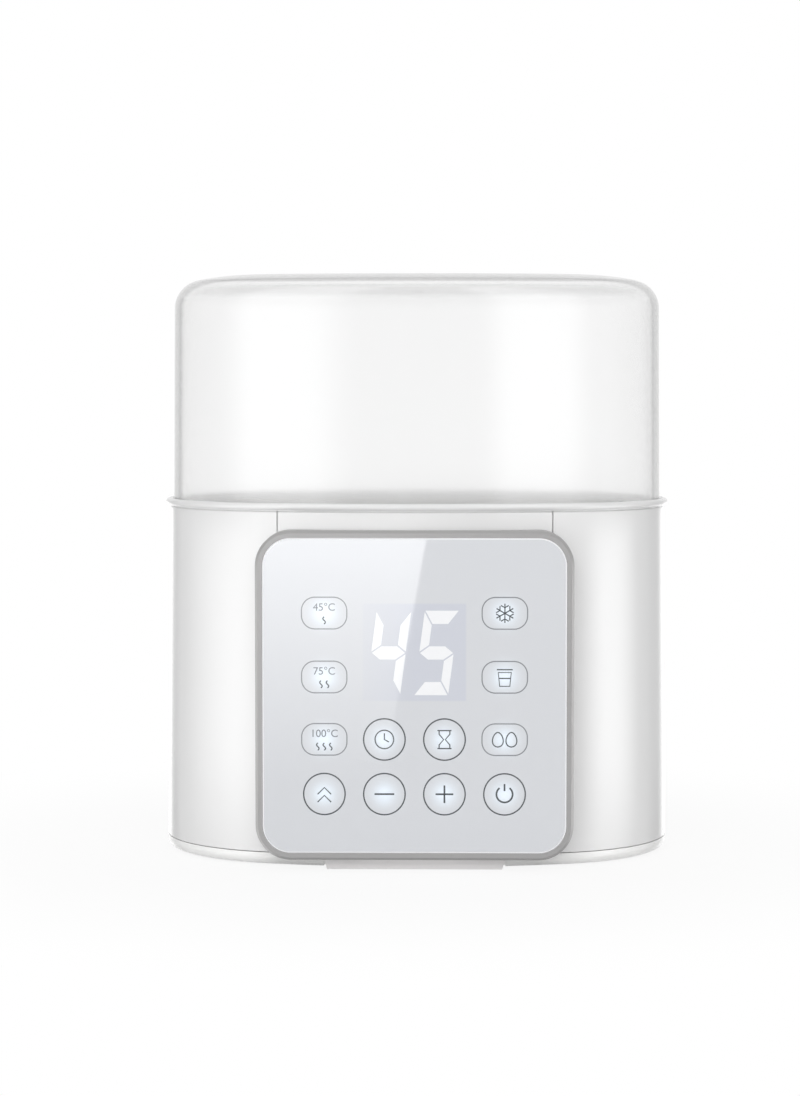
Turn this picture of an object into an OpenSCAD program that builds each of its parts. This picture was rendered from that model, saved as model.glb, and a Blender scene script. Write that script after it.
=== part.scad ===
// Two-bottle warmer and sterilizer: an oval water tank in a moulded body, heated from below, with a
// clear lift-off lid, a lift-out bottle basket and a touch panel on the front.
// The front faces -Y, +Z is up, and the origin is on the floor under the middle of the body.

/* [Body] */
// Width of the body at its base
body_w = 186; // [177:3:195]
// Depth of the body at its base
body_d = 116; // [113:3:119]
// Height of the strip of body that shows above the panel
top_strip = 6.5; // [5:0.1:9]
// Thickness of the outer shell
shell_wall = 2.2; // [1.8:0.1:2.5]
// Inward lean of the shell from its base to its top
shell_lean = 1.3; // [0.6:0.1:1.4]
// Width of the front fascia between its two parting lines
fascia_w = 98; // [96:1:100]
// Thickness of the front fascia
fascia_wall = 2.6; // [2.4:0.1:3]
// Width of the parting lines beside the fascia
seam = 0.3; // [0.3:0.1:0.8]

/* [Base] */
// Height of the cover's underside above the floor
foot_h = 0.6; // [0.6:0.1:2]
// Height of the cover's band that shows below the shell
band_h = 4.4; // [3.6:0.2:6]
// Radius of the band's lower edge
band_r = 3; // [2:0.2:3.4]
// Thickness of the bottom cover
cover_wall = 2.2; // [2:0.1:3]
// Width of the front foot strip
front_foot_w = 64.5; // [56:0.5:72]
// Diameter of the rear feet
rear_foot_d = 16; // [12:1:18]
// Depth of the pockets that the feet sit in
foot_pocket = 0.8; // [0.5:0.1:1]

/* [Collar] */
// Radius of the rounded bead
bead_r = 1.25; // [1.15:0.05:1.5]
// How far the bead stands out past the shell
bead_out = 1.6; // [1.6:0.05:2.1]
// Thickness of the ledge that the lid sits on
ledge_h = 1.2; // [1:0.1:1.8]

/* [Lid] */
// Height of the lid from its seat to its top
lid_h = 84; // [80:1:100]
// Thickness of the lid
lid_wall = 2.4; // [1.8:0.1:2.8]
// Inward lean of the lid's wall
lid_lean = 0.5; // [0.2:0.1:1]
// Radius of the lid's shoulder
lid_corner_r = 10.5; // [7:0.5:12]
// Radius of the gentle crown inside the shoulder
crown_r = 90; // [70:5:110]
// Slope where the shoulder meets the crown, in degrees
crown_tilt = 12; // [8:1:14]
// Diameter of the steam hole
vent_d = 5; // [3:0.5:8]
// Side play between the lid and the bead
lid_gap = 0.4; // [0.3:0.05:0.6]

/* [Tank] */
// Space between the shell and the tank at the rim
tank_gap = 7.8; // [7.6:0.1:9]
// Thickness of the tank
tank_wall = 2; // [1.6:0.1:2.4]
// Inward lean of the tank from its rim to its floor
tank_lean = 2; // [1:0.2:3]
// Radius between the tank's wall and its floor
tank_corner_r = 8; // [6:0.5:10]
// Depth of the tank below the shell's top edge
tank_depth = 84.8; // [80:0.2:86]

/* [Heater] */
// Diameter of the heated plate inside the tank
plate_d = 58; // [54:1:60]
// Height that the plate stands above the tank floor
plate_rise = 0.4; // [0.2:0.1:0.8]
// Radius of the element's horseshoe
element_ring_r = 21; // [20:0.5:22]
// Diameter of the element's tube
element_d = 6.6; // [6:0.2:7]
// Gap between the element's ends, in degrees
element_gap = 50; // [40:5:70]

/* [Panel] */
// Width of the bezel
panel_w = 113; // [111:0.5:116]
// Height of the bezel
panel_h = 117.2; // [114:0.1:119]
// Corner radius of the bezel
panel_r = 12.5; // [10:0.5:15]
// Height of the bezel's lower edge above the floor
panel_bottom = 4; // [2:0.1:5]
// How far the panel stands in front of the base of the body
panel_proud = 3.5; // [3:0.1:5]
// Width of the bezel's front lip round the lens
bezel_lip = 2.5; // [2.4:0.1:3.4]
// Thickness of the lens
lens_t = 2; // [1.5:0.1:2.5]
// Width of the display window
display_w = 36.5; // [35:0.5:40]
// Height of the display window
display_h = 34.5; // [33:0.5:38]
// Height of the middle of the display above the floor
display_z = 78.2; // [75:0.1:79]
// Height of a digit
digit_h = 30; // [28:0.5:32]
// Width of a digit
digit_w = 12.2; // [11:0.2:13]
// Slant of the digits, in degrees
digit_slant = 7.5; // [0:0.5:10]
// Sideways spacing of the touch keys
key_pitch = 21.3; // [21.2:0.1:22.4]

/* [Basket] */
// Play between the basket and the tank at the floor
basket_gap = 2; // [1.5:0.1:3]
// Thickness of the basket
basket_wall = 1.8; // [1.5:0.1:2.4]
// Height of the basket's floor above the tank floor
basket_rise = 3; // [2:0.2:5]
// Height of the low fence round the basket
fence_h = 16; // [10:1:30]
// Width of the two end handles
handle_w = 30; // [26:1:34]
// Depth of the handles' tops below the shell's top edge
handle_drop = 10.8; // [9:0.2:16]
// Width of the slots in the basket's floor
slot_w = 3.5; // [3:0.1:4.5]

/* [Electronics] */
// Width of the board behind the lens
control_board_w = 84; // [80:1:86]
// Length of the mains board
power_board_l = 58; // [54:1:60]
// Width of the mains board
power_board_w = 46; // [44:1:50]
// Thickness of the boards
board_t = 1.6; // [1:0.1:2]
// Diameter of the touch pads behind the keys
pad_d = 8; // [6:0.5:10]

/* [Fasteners and cord entry] */
// Diameter of the screws
screw_d = 2.6; // [2.4:0.1:3]
// Diameter of the screw heads
head_d = 5.2; // [4.8:0.1:5.4]
// Height of the screw heads
head_h = 1.8; // [1.4:0.1:2]
// Diameter of the cord entry's bore
gland_bore_d = 6.6; // [5:0.2:7]
// How far the cord entry stands out behind the base of the body
gland_out = 3.5; // [2.5:0.1:5]

/* [Hidden] */
$fn = 96;

// Clearances: round pieces in holes, pieces in pockets, snug covers, and the bezel's back on the body
hole_play = 0.1;
pass_play = 0.6;
pocket_play = 0.2;
cover_play = 0.25;
curve_play = 0.05;
// Extra reach of a cut past the face that it opens
cut = 1;

// Plan of the body: two end arcs and two long side arcs that meet without a corner. The line through
// the centres of two neighbouring arcs is the long side of a 7, 24, 25 triangle, so one step sets them all.
half_w = body_w / 2;
half_d = body_d / 2;
// Rounded to a fine power of two, so that the planes between the arcs meet exactly.
plan_step = round((half_w - half_d) / 6 * 4096) / 4096;
end_r = half_d - plan_step;
end_x = 7 * plan_step;
side_y = 24 * plan_step;
side_r = end_r + 25 * plan_step;
side_a = atan(7 / 24);
end_a = 90 - side_a;
// The wedges that part the arcs: a far corner on the parting plane, a far side and a height
wedge_corner = ceil(2 * side_r / 24) * [7, 24];
wedge_side = ceil(2 * side_r);
wedge_h = 10 * wedge_side;
// Keys across those planes: their length, and how far they stay inside the wall's faces
key_l = 1;
key_in = 0.15;

// Flat plates have a swept rim this wide, and a core that overlaps it by a little
side_rise = side_r * (1 - cos(side_a));
core_overlap = 3;
rim_band = side_rise + 2 * core_overlap;
core_steps = 12;
arc_steps = 8;

// Feet: how far the strip's back and its front face stand behind the base's front edge, the thickness of
// that face, its gap below the bezel and the slant of its ends, and where the rear pads stand from the
// end arcs and from the back
front_foot_in = 11;
front_face_in = 1.5;
front_face_t = 1.6;
front_face_gap = 0.6;
front_face_top = panel_bottom - front_face_gap;
foot_slant = 1;
rear_foot_out = 10;
rear_foot_in = 26;

// Heights of the body's joints
shell_top = panel_bottom + panel_h + top_strip;
shell_gap = 0.3;
band_top = foot_h + band_h;
shell_bottom = band_top + shell_gap;
cover_floor = foot_h + cover_wall;
lip_wall = 1.6;
lip_rise = 5;
lip_top = band_top + lip_rise;

// Collar, lid and tank rim, stacked on the shell's top edge
root_in = shell_lean + max(shell_wall, fascia_wall) + cover_play;
root_h = 1.8;
flange_h = 2;
flange_top = shell_top - root_h - pocket_play;
flange_bottom = flange_top - flange_h;
ledge_top = shell_top + ledge_h;
bead_u = shell_lean - bead_out + bead_r;
bead_lift = 0.45;
bead_z = ledge_top + bead_lift;
lid_out = bead_u + bead_r + lid_gap;
lid_in = lid_out + lid_wall;
rib_wall = 1.1;
rib_h = 1.4;
lid_top = ledge_top + lid_h;

// Tank walls, as insets from the body's outline
tank_out = shell_lean + shell_wall + tank_gap;
tank_in = tank_out + tank_wall;
tank_floor = shell_top - tank_depth;
tank_under = tank_floor - tank_wall;
tank_corner_u = tank_in + tank_lean + tank_corner_r;

// Posts inside the shell that the cover and the tank are screwed to
post_d = 6.6;
post_u = shell_lean + shell_wall + tank_gap / 2;
post_turn = 50;
post_web = 2;
post_bottom = lip_top + 0.6;
post_pilot = 14;
boss_wall = 1.6;

// Heater under the tank
plate_r = plate_d / 2;
plate_play = 0.4;
seal_h = 1.2;
seal_w = 3;
plate_flange_w = 5.5;
plate_flange_h = 2.4;
plate_flange_top = tank_under - seal_h;
plate_under = plate_flange_top - plate_flange_h;
clamp_h = 1.6;
clamp_in = 3.6;
clamp_boss_d = 7;
clamp_boss_r = plate_r + plate_flange_w + clamp_boss_d / 2 + 1.5;
clamp_boss_turn = 28;
pin_d = 3.2;
pin_drop = 6;
pin_back = 8;
pin_turn = element_gap / 2 + pin_back;
element_flat = element_d / 10;
tube_z = plate_under - element_d / 2 + element_flat;
pin_z = tube_z - element_d / 2 - pin_drop;

// Front panel
panel_front = half_d + panel_proud;
panel_mid = panel_bottom + panel_h / 2;
bezel_chamfer = 0.9;
bezel_step = 0.2;
lens_recess = 0.2;
lens_back = lens_recess + lens_t;
lens_play = 0.1;
seat_w = 2.4;
seat_t = 1.6;
board_gap = 7;
board_front = lens_back + board_gap;
board_back = board_front + board_t;
control_board_h = 92;
control_board_z = 60;
window_play = 2;
key_rows = [27.7, 47.2, 69.4, 92.1];
segment_t = 0.6;
bar_h = 4.7;
bar_w = 3.1;
segment_gap = 0.25;
digit_pitch = 17;
half_digit = [digit_w / 2, digit_h / 2];
bezel_boss_d = 5.6;
bezel_boss_z = 13;
spot_d = 6;
spot_t = 1.2;
bezel_boss_x = fascia_w / 2 + seam + spot_d / 2 + hole_play;

// Mains board on the bottom cover
standoff_h = 6.4;
standoff_d = 6;
power_board_x = -43;
power_board_z = cover_floor + standoff_h;
power_board_top = power_board_z + board_t;
board_hole_in = 4;
// Its tall parts stand beside the heater in a row, clear of the plate's flange
part_gap = 1;
relay_size = [19, 15.4, 14];
core_size = [16, 7, 14];
relay_at = [-plate_r - plate_flange_w - part_gap - relay_size[0] / 2, 5];
transformer_at = [relay_at[0] - relay_size[0] / 2 - part_gap - core_size[0] / 2, 6];
capacitor_at = [relay_at[0] - relay_size[0] / 2, -12];

// Cord entry at the back
gland_z = 21;
gland_flange_d = 15;
gland_neck_d = 11;
gland_in = 5;

// Inset of the shell's outer face at a height
function lean_at(z) = shell_lean * (z - shell_bottom) / (shell_top - shell_bottom);

// Distance of the body's outline in front of the middle at a sideways position and inset
function front_at(x, inset) =
    abs(x) <= (side_r - inset) * sin(side_a)
        ? sqrt(pow(side_r - inset, 2) - x * x) - side_y
        : sqrt(pow(end_r - inset, 2) - pow(abs(x) - end_x, 2));

// Distance of the panel screws' seats in front of the middle
spot_y = front_at(bezel_boss_x + spot_d / 2, shell_lean + shell_wall) - spot_t;

// Points of an arc, for the round stretches of a section
function arc(centre, r, from, to, steps) =
    [for (i = [0:steps]) let (a = from + (to - from) * i / steps) centre + r * [cos(a), sin(a)]];

// Outline of a plate's core: the two end arcs at an inset, joined by straight sides
function core_points(inset) = [
    for (s = [1, -1], k = [0:core_steps])
        let (a = end_a * (2 * k / core_steps - 1))
        s * [end_x + (end_r - inset) * cos(a), (end_r - inset) * sin(a)]
];

// Sweeps a section round the oval: its x is the inset from the body's outline and its y the height.
// Each arc is a full turn of the section, kept between the two planes where it meets its neighbours.
module round_oval() {
    for (turn = [0, 180]) rotate(turn) {
        translate([end_x, 0, 0])
            kept_turn(end_r, [
                [0, 0], [wedge_corner[0], -wedge_corner[1]], [wedge_side, -wedge_corner[1]],
                [wedge_side, wedge_corner[1]], wedge_corner
            ]) children();
        translate([0, -side_y, 0])
            kept_turn(side_r, [[0, 0], wedge_corner, [-wedge_corner[0], wedge_corner[1]]]) children();
        for (side = [1, -1])
            translate([end_x, 0, 0]) rotate(side * end_a) seam_key() children();
    }
}

// A short straight key inside the wall, which ties two neighbouring arcs together across their plane
module seam_key() {
    rotate([90, 0, 0]) translate([0, 0, -key_l / 2]) linear_extrude(key_l)
        translate([end_r, 0]) mirror([1, 0]) intersection() {
            translate([key_in, key_in]) children();
            translate([key_in, -key_in]) children();
            translate([-key_in, key_in]) children();
            translate([-key_in, -key_in]) children();
        }
}

// A full turn of a section at a radius, kept inside a wedge
module kept_turn(r, wedge) {
    intersection() {
        rotate_extrude() translate([r, 0]) mirror([1, 0]) children();
        translate([0, 0, -wedge_h / 2]) linear_extrude(wedge_h) polygon(wedge);
    }
}

// The flat middle of a plate whose rim is swept
module oval_core(inset, z, h) {
    translate([0, 0, z]) linear_extrude(h) polygon(core_points(inset));
}

// Sweeps a section round a rounded rectangle: its x is the inset from the edge and its y the height
module round_frame(w, h, r) {
    for (q = [0:3]) {
        along = q % 2 == 0 ? w - 2 * r : h - 2 * r;
        sx = q == 0 || q == 3 ? 1 : -1;
        sy = q < 2 ? 1 : -1;
        translate([sx * (w / 2 - r), sy * (h / 2 - r), 0])
            rotate(90 * q) {
                rotate_extrude(angle = 90)
                    translate([r, 0]) mirror([1, 0]) children();
                rotate(90)
                    translate([0, along, 0])
                        rotate([90, 0, 0])
                            linear_extrude(along)
                                translate([r, 0]) mirror([1, 0]) children();
            }
    }
}

// A flat plate with round corners, from z = 0 up: a section swept round it, and a core that overlaps it
module round_plate(w, h, r, t) {
    round_frame(w, h, r) children();
    translate([(r - w) / 2, (r - h) / 2, 0]) cube([w - r, h - r, t]);
}

// How far the section of such a plate reaches in from its edge
function plate_band(r) = 0.75 * r;

// Places flat work on the panel: x across, y up, z towards the viewer from the bezel's front plane
module on_panel() {
    translate([0, -panel_front, panel_mid]) rotate([90, 0, 0]) children();
}

// Copies at the four posts inside the shell
module at_posts() {
    for (sx = [1, -1], sy = [1, -1])
        translate([
            sx * (end_x + (end_r - post_u) * cos(post_turn)),
            sy * (end_r - post_u) * sin(post_turn),
            0
        ]) children();
}

// Copies at the four bosses under the tank that hold the heater
module at_clamp_bosses() {
    for (turn = [clamp_boss_turn, 180 - clamp_boss_turn, 180 + clamp_boss_turn, -clamp_boss_turn])
        rotate(turn) translate([clamp_boss_r, 0, 0]) children();
}

// Copies at the four corners of the mains board
module at_board_corners() {
    for (sx = [1, -1], sy = [1, -1])
        translate([
            power_board_x + sx * (power_board_l / 2 - board_hole_in),
            sy * (power_board_w / 2 - board_hole_in),
            0
        ]) children();
}

// Copies at the four bosses of the bezel, on the plane through the middle of the body
module at_bezel_bosses() {
    for (sx = [1, -1], z = [panel_bottom + bezel_boss_z, panel_bottom + panel_h - bezel_boss_z])
        translate([sx * bezel_boss_x, 0, z]) children();
}

// Copies behind the touch keys, in panel places
module at_keys() {
    for (row = [0:len(key_rows) - 1], column = [-1.5:1:1.5])
        if (row < 2 || abs(column) > 1)
            translate([column * key_pitch, key_rows[row] - panel_mid, 0]) children();
}

// A pan-head screw, head down, that points up from the underside of its head
module screw(length) {
    translate([0, 0, -head_h]) cylinder(d = head_d, h = head_h);
    cylinder(d = screw_d, h = length);
}

function unit(v) = v / norm(v);

// Points of a smooth bend from one place to another by way of a third
function bend(from, by, to, steps) =
    [for (i = [0:steps]) let (t = i / steps) (1 - t) * (1 - t) * from + 2 * t * (1 - t) * by + t * t * to];

// A round lead along a path that starts and ends upright
module lead(path, d, sides = 8) {
    last = len(path) - 1;
    rings = [
        for (i = [0:last])
            let (
                ahead = unit(i == 0 || i == last ? [0, 0, -1] : path[i + 1] - path[i - 1]),
                side = unit(cross(ahead, [0, 1, 0])),
                up = cross(side, ahead)
            )
            for (k = [0:sides - 1])
                let (a = 360 * k / sides)
                path[i] + d / 2 * (cos(a) * side + sin(a) * up)
    ];
    walls = [
        for (i = [0:last - 1], k = [0:sides - 1])
            let (n = (k + 1) % sides)
            each [
                [i * sides + k, (i + 1) * sides + k, i * sides + n],
                [i * sides + n, (i + 1) * sides + k, (i + 1) * sides + n]
            ]
    ];
    start = [for (k = [0:sides - 1]) k];
    end = [for (k = [0:sides - 1]) last * sides + sides - 1 - k];
    polyhedron(rings, concat(walls, [start, end]));
}

// Base moulding: a floor, the band that shows below the shell, and a lip that the shell fits over
module bottom_cover() {
    lip_out = max(shell_wall, fascia_wall) + cover_play;
    floor_in = lip_out + lip_wall + rim_band;
    well_d = head_d + 2 * pass_play;
    well_top = post_bottom - cover_wall;
    vent_w = 2.4;
    vent_l = 30;
    vent_pitch = 5.5;
    vent_start = 10;
    vents = 8;
    color("white") difference() {
        union() {
            round_oval() polygon(concat(
                arc([band_r, foot_h + band_r], band_r, 180, 270, arc_steps),
                [
                    [floor_in, foot_h], [floor_in, cover_floor],
                    [lip_out + lip_wall, cover_floor], [lip_out + lip_wall, lip_top],
                    [lip_out, lip_top], [lip_out, band_top], [0, band_top]
                ]
            ));
            oval_core(floor_in - rim_band + core_overlap, foot_h, cover_wall);
            at_posts() translate([0, 0, foot_h + cover_wall / 2])
                cylinder(d = well_d + 2 * boss_wall, h = post_bottom - foot_h - cover_wall / 2);
            at_board_corners() translate([0, 0, foot_h])
                cylinder(d = standoff_d, h = power_board_z - foot_h);
        }
        at_posts() {
            translate([0, 0, foot_h - cut]) cylinder(d = well_d, h = well_top - foot_h + cut);
            translate([0, 0, foot_h]) cylinder(d = screw_d + pass_play, h = post_bottom);
        }
        at_board_corners() translate([0, 0, cover_floor])
            cylinder(d = screw_d + hole_play, h = standoff_h + cut);
        // Cooling slots under the heater's free side
        for (k = [0:vents - 1])
            translate([vent_start + k * vent_pitch, -vent_l / 2, foot_h - cut])
                cube([vent_w, vent_l, cover_wall + 2 * cut]);
        foot_pockets();
    }
}

// Recesses in the cover's underside for the three feet, and a notch in the band for the strip's face
module foot_pockets() {
    strip_w = front_foot_w + 2 * pocket_play;
    notch_in = front_face_in + front_face_t + pocket_play;
    notch_h = front_face_top + pocket_play - foot_h;
    translate([0, 0, foot_h - cut]) {
        translate([-strip_w / 2, -half_d - cut, 0]) {
            cube([strip_w, cut + front_foot_in + pocket_play, foot_pocket + cut]);
            cube([strip_w, cut + notch_in, notch_h + cut]);
        }
        at_rear_feet() cylinder(d = rear_foot_d + 2 * pocket_play, h = foot_pocket + cut);
    }
}

// Copies at the two rear feet
module at_rear_feet() {
    for (sx = [1, -1]) translate([sx * (end_x + rear_foot_out), half_d - rear_foot_in, 0]) children();
}

// Long foot strip that shows under the panel: a pad in the cover's pocket and an upright front face
module front_foot() {
    reach = front_foot_in - front_face_in;
    color("gainsboro") translate([0, -half_d + front_foot_in, 0]) rotate([90, 0, 0]) {
        linear_extrude(reach) foot_outline(foot_h + foot_pocket);
        translate([0, 0, reach - front_face_t]) linear_extrude(front_face_t) foot_outline(front_face_top);
    }
}

// Outline of the strip from the front up to a height, with slanted ends
module foot_outline(top) {
    low_half = front_foot_w / 2 - foot_slant;
    top_half = low_half + foot_slant * top / front_face_top;
    polygon([[-low_half, 0], [low_half, 0], [top_half, top], [-top_half, top]]);
}

// Two round pads under the back, with a bevelled lower edge
module rear_feet() {
    bevel = 0.6;
    color("gainsboro") at_rear_feet() {
        cylinder(d1 = rear_foot_d - 2 * bevel, d2 = rear_foot_d, h = bevel);
        translate([0, 0, bevel]) cylinder(d = rear_foot_d, h = foot_h + foot_pocket - bevel);
    }
}

// Section of the body's outer wall, with a fine bevel at its top edge
module wall_section(wall) {
    bevel = 0.5;
    polygon([
        [0, shell_bottom], [lean_at(shell_top - bevel), shell_top - bevel],
        [shell_lean + bevel, shell_top], [shell_lean + wall, shell_top], [wall, shell_bottom]
    ]);
}

// Oval outer wall, open at the front for the fascia, with the posts that carry cover and tank
module outer_shell() {
    opening = fascia_w + 2 * seam;
    post_h = flange_bottom - post_bottom;
    web_reach = post_u - shell_lean - shell_wall / 3;
    color("white") difference() {
        union() {
            difference() {
                union() {
                    round_oval() wall_section(shell_wall);
                    spot_faces();
                }
                translate([-opening / 2, -half_d - cut, shell_bottom - cut])
                    cube([opening, half_d, shell_top - shell_bottom + 2 * cut]);
            }
            at_posts() translate([0, 0, post_bottom]) cylinder(d = post_d, h = post_h);
            for (sx = [1, -1], sy = [1, -1])
                translate([sx * end_x, 0, post_bottom])
                    rotate(sx > 0 ? sy * post_turn : 180 - sy * post_turn)
                        translate([end_r - post_u, -post_web / 2, 0])
                            cube([web_reach, post_web, post_h]);
        }
        at_posts() {
            translate([0, 0, post_bottom - cut]) cylinder(d = screw_d + hole_play, h = post_pilot + cut);
            translate([0, 0, flange_bottom - post_pilot])
                cylinder(d = screw_d + hole_play, h = post_pilot + cut);
        }
        at_bezel_bosses() rotate([90, 0, 0])
            cylinder(d = screw_d + pass_play, h = panel_front);
        translate([0, 0, gland_z]) rotate([-90, 0, 0])
            cylinder(d = gland_neck_d + 2 * hole_play, h = half_d + cut);
    }
}

// Flat seats inside the shell for the panel screws' heads
module spot_faces() {
    intersection() {
        at_bezel_bosses() translate([0, -spot_y, 0]) rotate([90, 0, 0])
            cylinder(d = spot_d, h = half_d - spot_y);
        round_oval() translate([shell_lean + shell_wall / 2, shell_bottom])
            square([tank_gap, shell_top - shell_bottom]);
    }
}

// Curved insert behind the panel, with tongues that lock it behind the shell's cut edges
module front_fascia() {
    window_w = control_board_w + 2 * window_play;
    window_h = control_board_h + 2 * window_play;
    tongue_t = 1.2;
    tongue_reach = 3;
    tongue_in = 5;
    tongue_bottom = panel_bottom + 2 * bezel_boss_z;
    tongue_h = panel_h - 4 * bezel_boss_z;
    color("whitesmoke") difference() {
        union() {
            intersection() {
                round_oval() wall_section(fascia_wall);
                translate([-fascia_w / 2, -half_d - cut, 0]) cube([fascia_w, half_d, shell_top + cut]);
            }
            intersection() {
                round_oval() polygon([
                    [shell_wall + pocket_play, shell_bottom],
                    [shell_lean + shell_wall + pocket_play, shell_top],
                    [shell_lean + fascia_wall + tongue_t, shell_top],
                    [fascia_wall + tongue_t, shell_bottom]
                ]);
                for (sx = [1, -1])
                    translate([sx * (fascia_w / 2 + (tongue_reach - tongue_in) / 2), -half_d / 2, 0])
                        translate([-(tongue_reach + tongue_in) / 2, -half_d / 2, tongue_bottom])
                            cube([tongue_reach + tongue_in, half_d / 2, tongue_h]);
            }
        }
        translate([-window_w / 2, -half_d - cut, control_board_z - window_h / 2])
            cube([window_w, half_d, window_h]);
    }
}

// Trim ring: the bead that shows, the ledge for the lid, a rib inside the lid and a root in the shell
module collar_ring() {
    bead_steps = 24;
    bead_start = -acos((shell_lean - bead_u) / bead_r);
    bead_end = -360 - asin(bead_lift / bead_r);
    rib_in = lid_in + lid_gap;
    color("white") round_oval() polygon(concat(
        arc([bead_u, bead_z], bead_r, bead_start, bead_end, bead_steps),
        [
            [rib_in, ledge_top], [rib_in, ledge_top + rib_h],
            [rib_in + rib_wall, ledge_top + rib_h], [rib_in + rib_wall, ledge_top],
            [tank_in, ledge_top], [tank_in, shell_top - root_h],
            [root_in, shell_top - root_h], [root_in, shell_top], [shell_lean, shell_top]
        ]
    ));
}

// Oval water tank that hangs by its flange, with an opening in the floor for the heated plate
module inner_tank() {
    corner_z = tank_floor + tank_corner_r;
    floor_in = tank_corner_u + rim_band;
    color("white") difference() {
        union() {
            round_oval() polygon(concat(
                [[root_in, flange_top], [tank_in, flange_top]],
                arc([tank_corner_u, corner_z], tank_corner_r, 180, 270, arc_steps),
                [[floor_in, tank_floor], [floor_in, tank_under]],
                arc([tank_corner_u, corner_z], tank_corner_r + tank_wall, 270, 180, arc_steps),
                [[tank_out, flange_bottom], [root_in, flange_bottom]]
            ));
            oval_core(tank_corner_u + core_overlap, tank_under, tank_wall);
            at_clamp_bosses() translate([0, 0, plate_under])
                cylinder(d = clamp_boss_d, h = tank_under + tank_wall / 2 - plate_under);
        }
        translate([0, 0, tank_under - cut])
            cylinder(r = plate_r + plate_play, h = tank_wall + 2 * cut);
        at_posts() {
            translate([0, 0, flange_bottom - cut])
                cylinder(d = screw_d + pass_play, h = flange_h + 2 * cut);
            translate([0, 0, flange_top - head_h])
                cylinder(d1 = screw_d + pass_play, d2 = head_d + pass_play, h = head_h);
        }
        at_clamp_bosses() translate([0, 0, plate_under - cut])
            cylinder(d = screw_d + hole_play, h = tank_under - plate_under + cut);
    }
}

// Cast heated plate with a flange that presses the seal up against the tank floor
module heating_plate() {
    color("silver") {
        translate([0, 0, plate_under]) cylinder(r = plate_r + plate_flange_w, h = plate_flange_h);
        translate([0, 0, plate_flange_top])
            cylinder(r = plate_r, h = tank_floor + plate_rise - plate_flange_top);
    }
}

// Flat silicone gasket between the plate's flange and the tank floor
module plate_seal() {
    color("tomato") translate([0, 0, plate_flange_top]) difference() {
        cylinder(r = plate_r + plate_play + cover_play + seal_w, h = seal_h);
        translate([0, 0, -cut]) cylinder(r = plate_r + plate_play + cover_play, h = seal_h + 2 * cut);
    }
}

// Steel retainer ring with four ears, screwed up into the tank's bosses
module plate_clamp() {
    inner_r = plate_r + plate_flange_w - clamp_in;
    color("lightsteelblue") translate([0, 0, plate_under - clamp_h]) difference() {
        union() {
            cylinder(r = plate_r + plate_flange_w, h = clamp_h);
            at_clamp_bosses() {
                cylinder(d = clamp_boss_d, h = clamp_h);
                translate([-clamp_boss_d, -clamp_boss_d / 2, 0])
                    cube([clamp_boss_d, clamp_boss_d, clamp_h]);
            }
        }
        translate([0, 0, -cut]) cylinder(r = inner_r, h = clamp_h + 2 * cut);
        at_clamp_bosses() translate([0, 0, -cut]) cylinder(d = screw_d + pass_play, h = clamp_h + 2 * cut);
    }
}

module clamp_screws() {
    color("silver") at_clamp_bosses() translate([0, 0, plate_under - clamp_h])
        screw(clamp_h + tank_under - plate_under - hole_play);
}

// Horseshoe element with a flat top that lies against the plate, and two terminal pins
module heating_element() {
    color("dimgray") difference() {
        union() {
            translate([0, 0, tube_z]) rotate(element_gap / 2)
                rotate_extrude(angle = 360 - element_gap)
                    translate([element_ring_r, 0]) circle(d = element_d);
            element_pins() translate([0, 0, pin_z])
                cylinder(d = pin_d, h = pin_drop + element_d / 2);
        }
        translate([0, 0, plate_under])
            cylinder(r = element_ring_r + element_d, h = element_d);
    }
}

// Terminals stand just inside the two ends of the horseshoe
module element_pins() {
    for (side = [1, -1])
        rotate(side * pin_turn) translate([element_ring_r, 0, 0]) children();
}

// Sensor can with its stepped nose on the plate
module temperature_sensor() {
    can_d = 5;
    can_h = 9;
    can_x = 9;
    rim_d = 7.4;
    rim_h = 1.2;
    color("goldenrod") translate([can_x, 0, plate_under - can_h]) {
        cylinder(d = can_d, h = can_h - rim_h);
        translate([0, 0, can_h - rim_h]) cylinder(d = rim_d, h = rim_h);
    }
}

// Disc cut-out: metal cap on the plate, moulded base and two blade terminals
module thermal_cutout() {
    cap_d = 13;
    cap_h = 3;
    base_d = 11.4;
    base_h = 6;
    blade = [0.8, 5, 5];
    blade_x = 3.4;
    cutout_x = -8;
    color("silver") translate([cutout_x, 0, plate_under - cap_h]) {
        cylinder(d = cap_d, h = cap_h);
        translate([0, 0, -base_h]) cylinder(d = base_d, h = base_h);
        for (sx = [1, -1])
            translate([sx * blade_x - blade[0] / 2, -blade[1] / 2, -base_h - blade[2]])
                cube(blade);
    }
}

// Small axial fuse lying against the plate, with its two wires bent down
module thermal_fuse() {
    fuse_d = 3.6;
    fuse_l = 10;
    fuse_y = 11.5;
    wire_d = 1;
    wire_out = 2;
    wire_drop = 5;
    color("gold") translate([0, fuse_y, plate_under - fuse_d / 2]) {
        rotate([0, 90, 0]) cylinder(d = fuse_d, h = fuse_l, center = true);
        rotate([0, 90, 0]) cylinder(d = wire_d, h = fuse_l + 2 * wire_out, center = true);
        for (sx = [1, -1])
            translate([sx * (fuse_l / 2 + wire_out - wire_d / 2), 0, -wire_drop])
                cylinder(d = wire_d, h = wire_drop);
    }
}

// Mains board on four standoffs
module power_board() {
    color("seagreen") difference() {
        translate([power_board_x - power_board_l / 2, -power_board_w / 2, power_board_z])
            cube([power_board_l, power_board_w, board_t]);
        at_board_corners() translate([0, 0, power_board_z - cut])
            cylinder(d = screw_d + pass_play, h = board_t + 2 * cut);
    }
}

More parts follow.
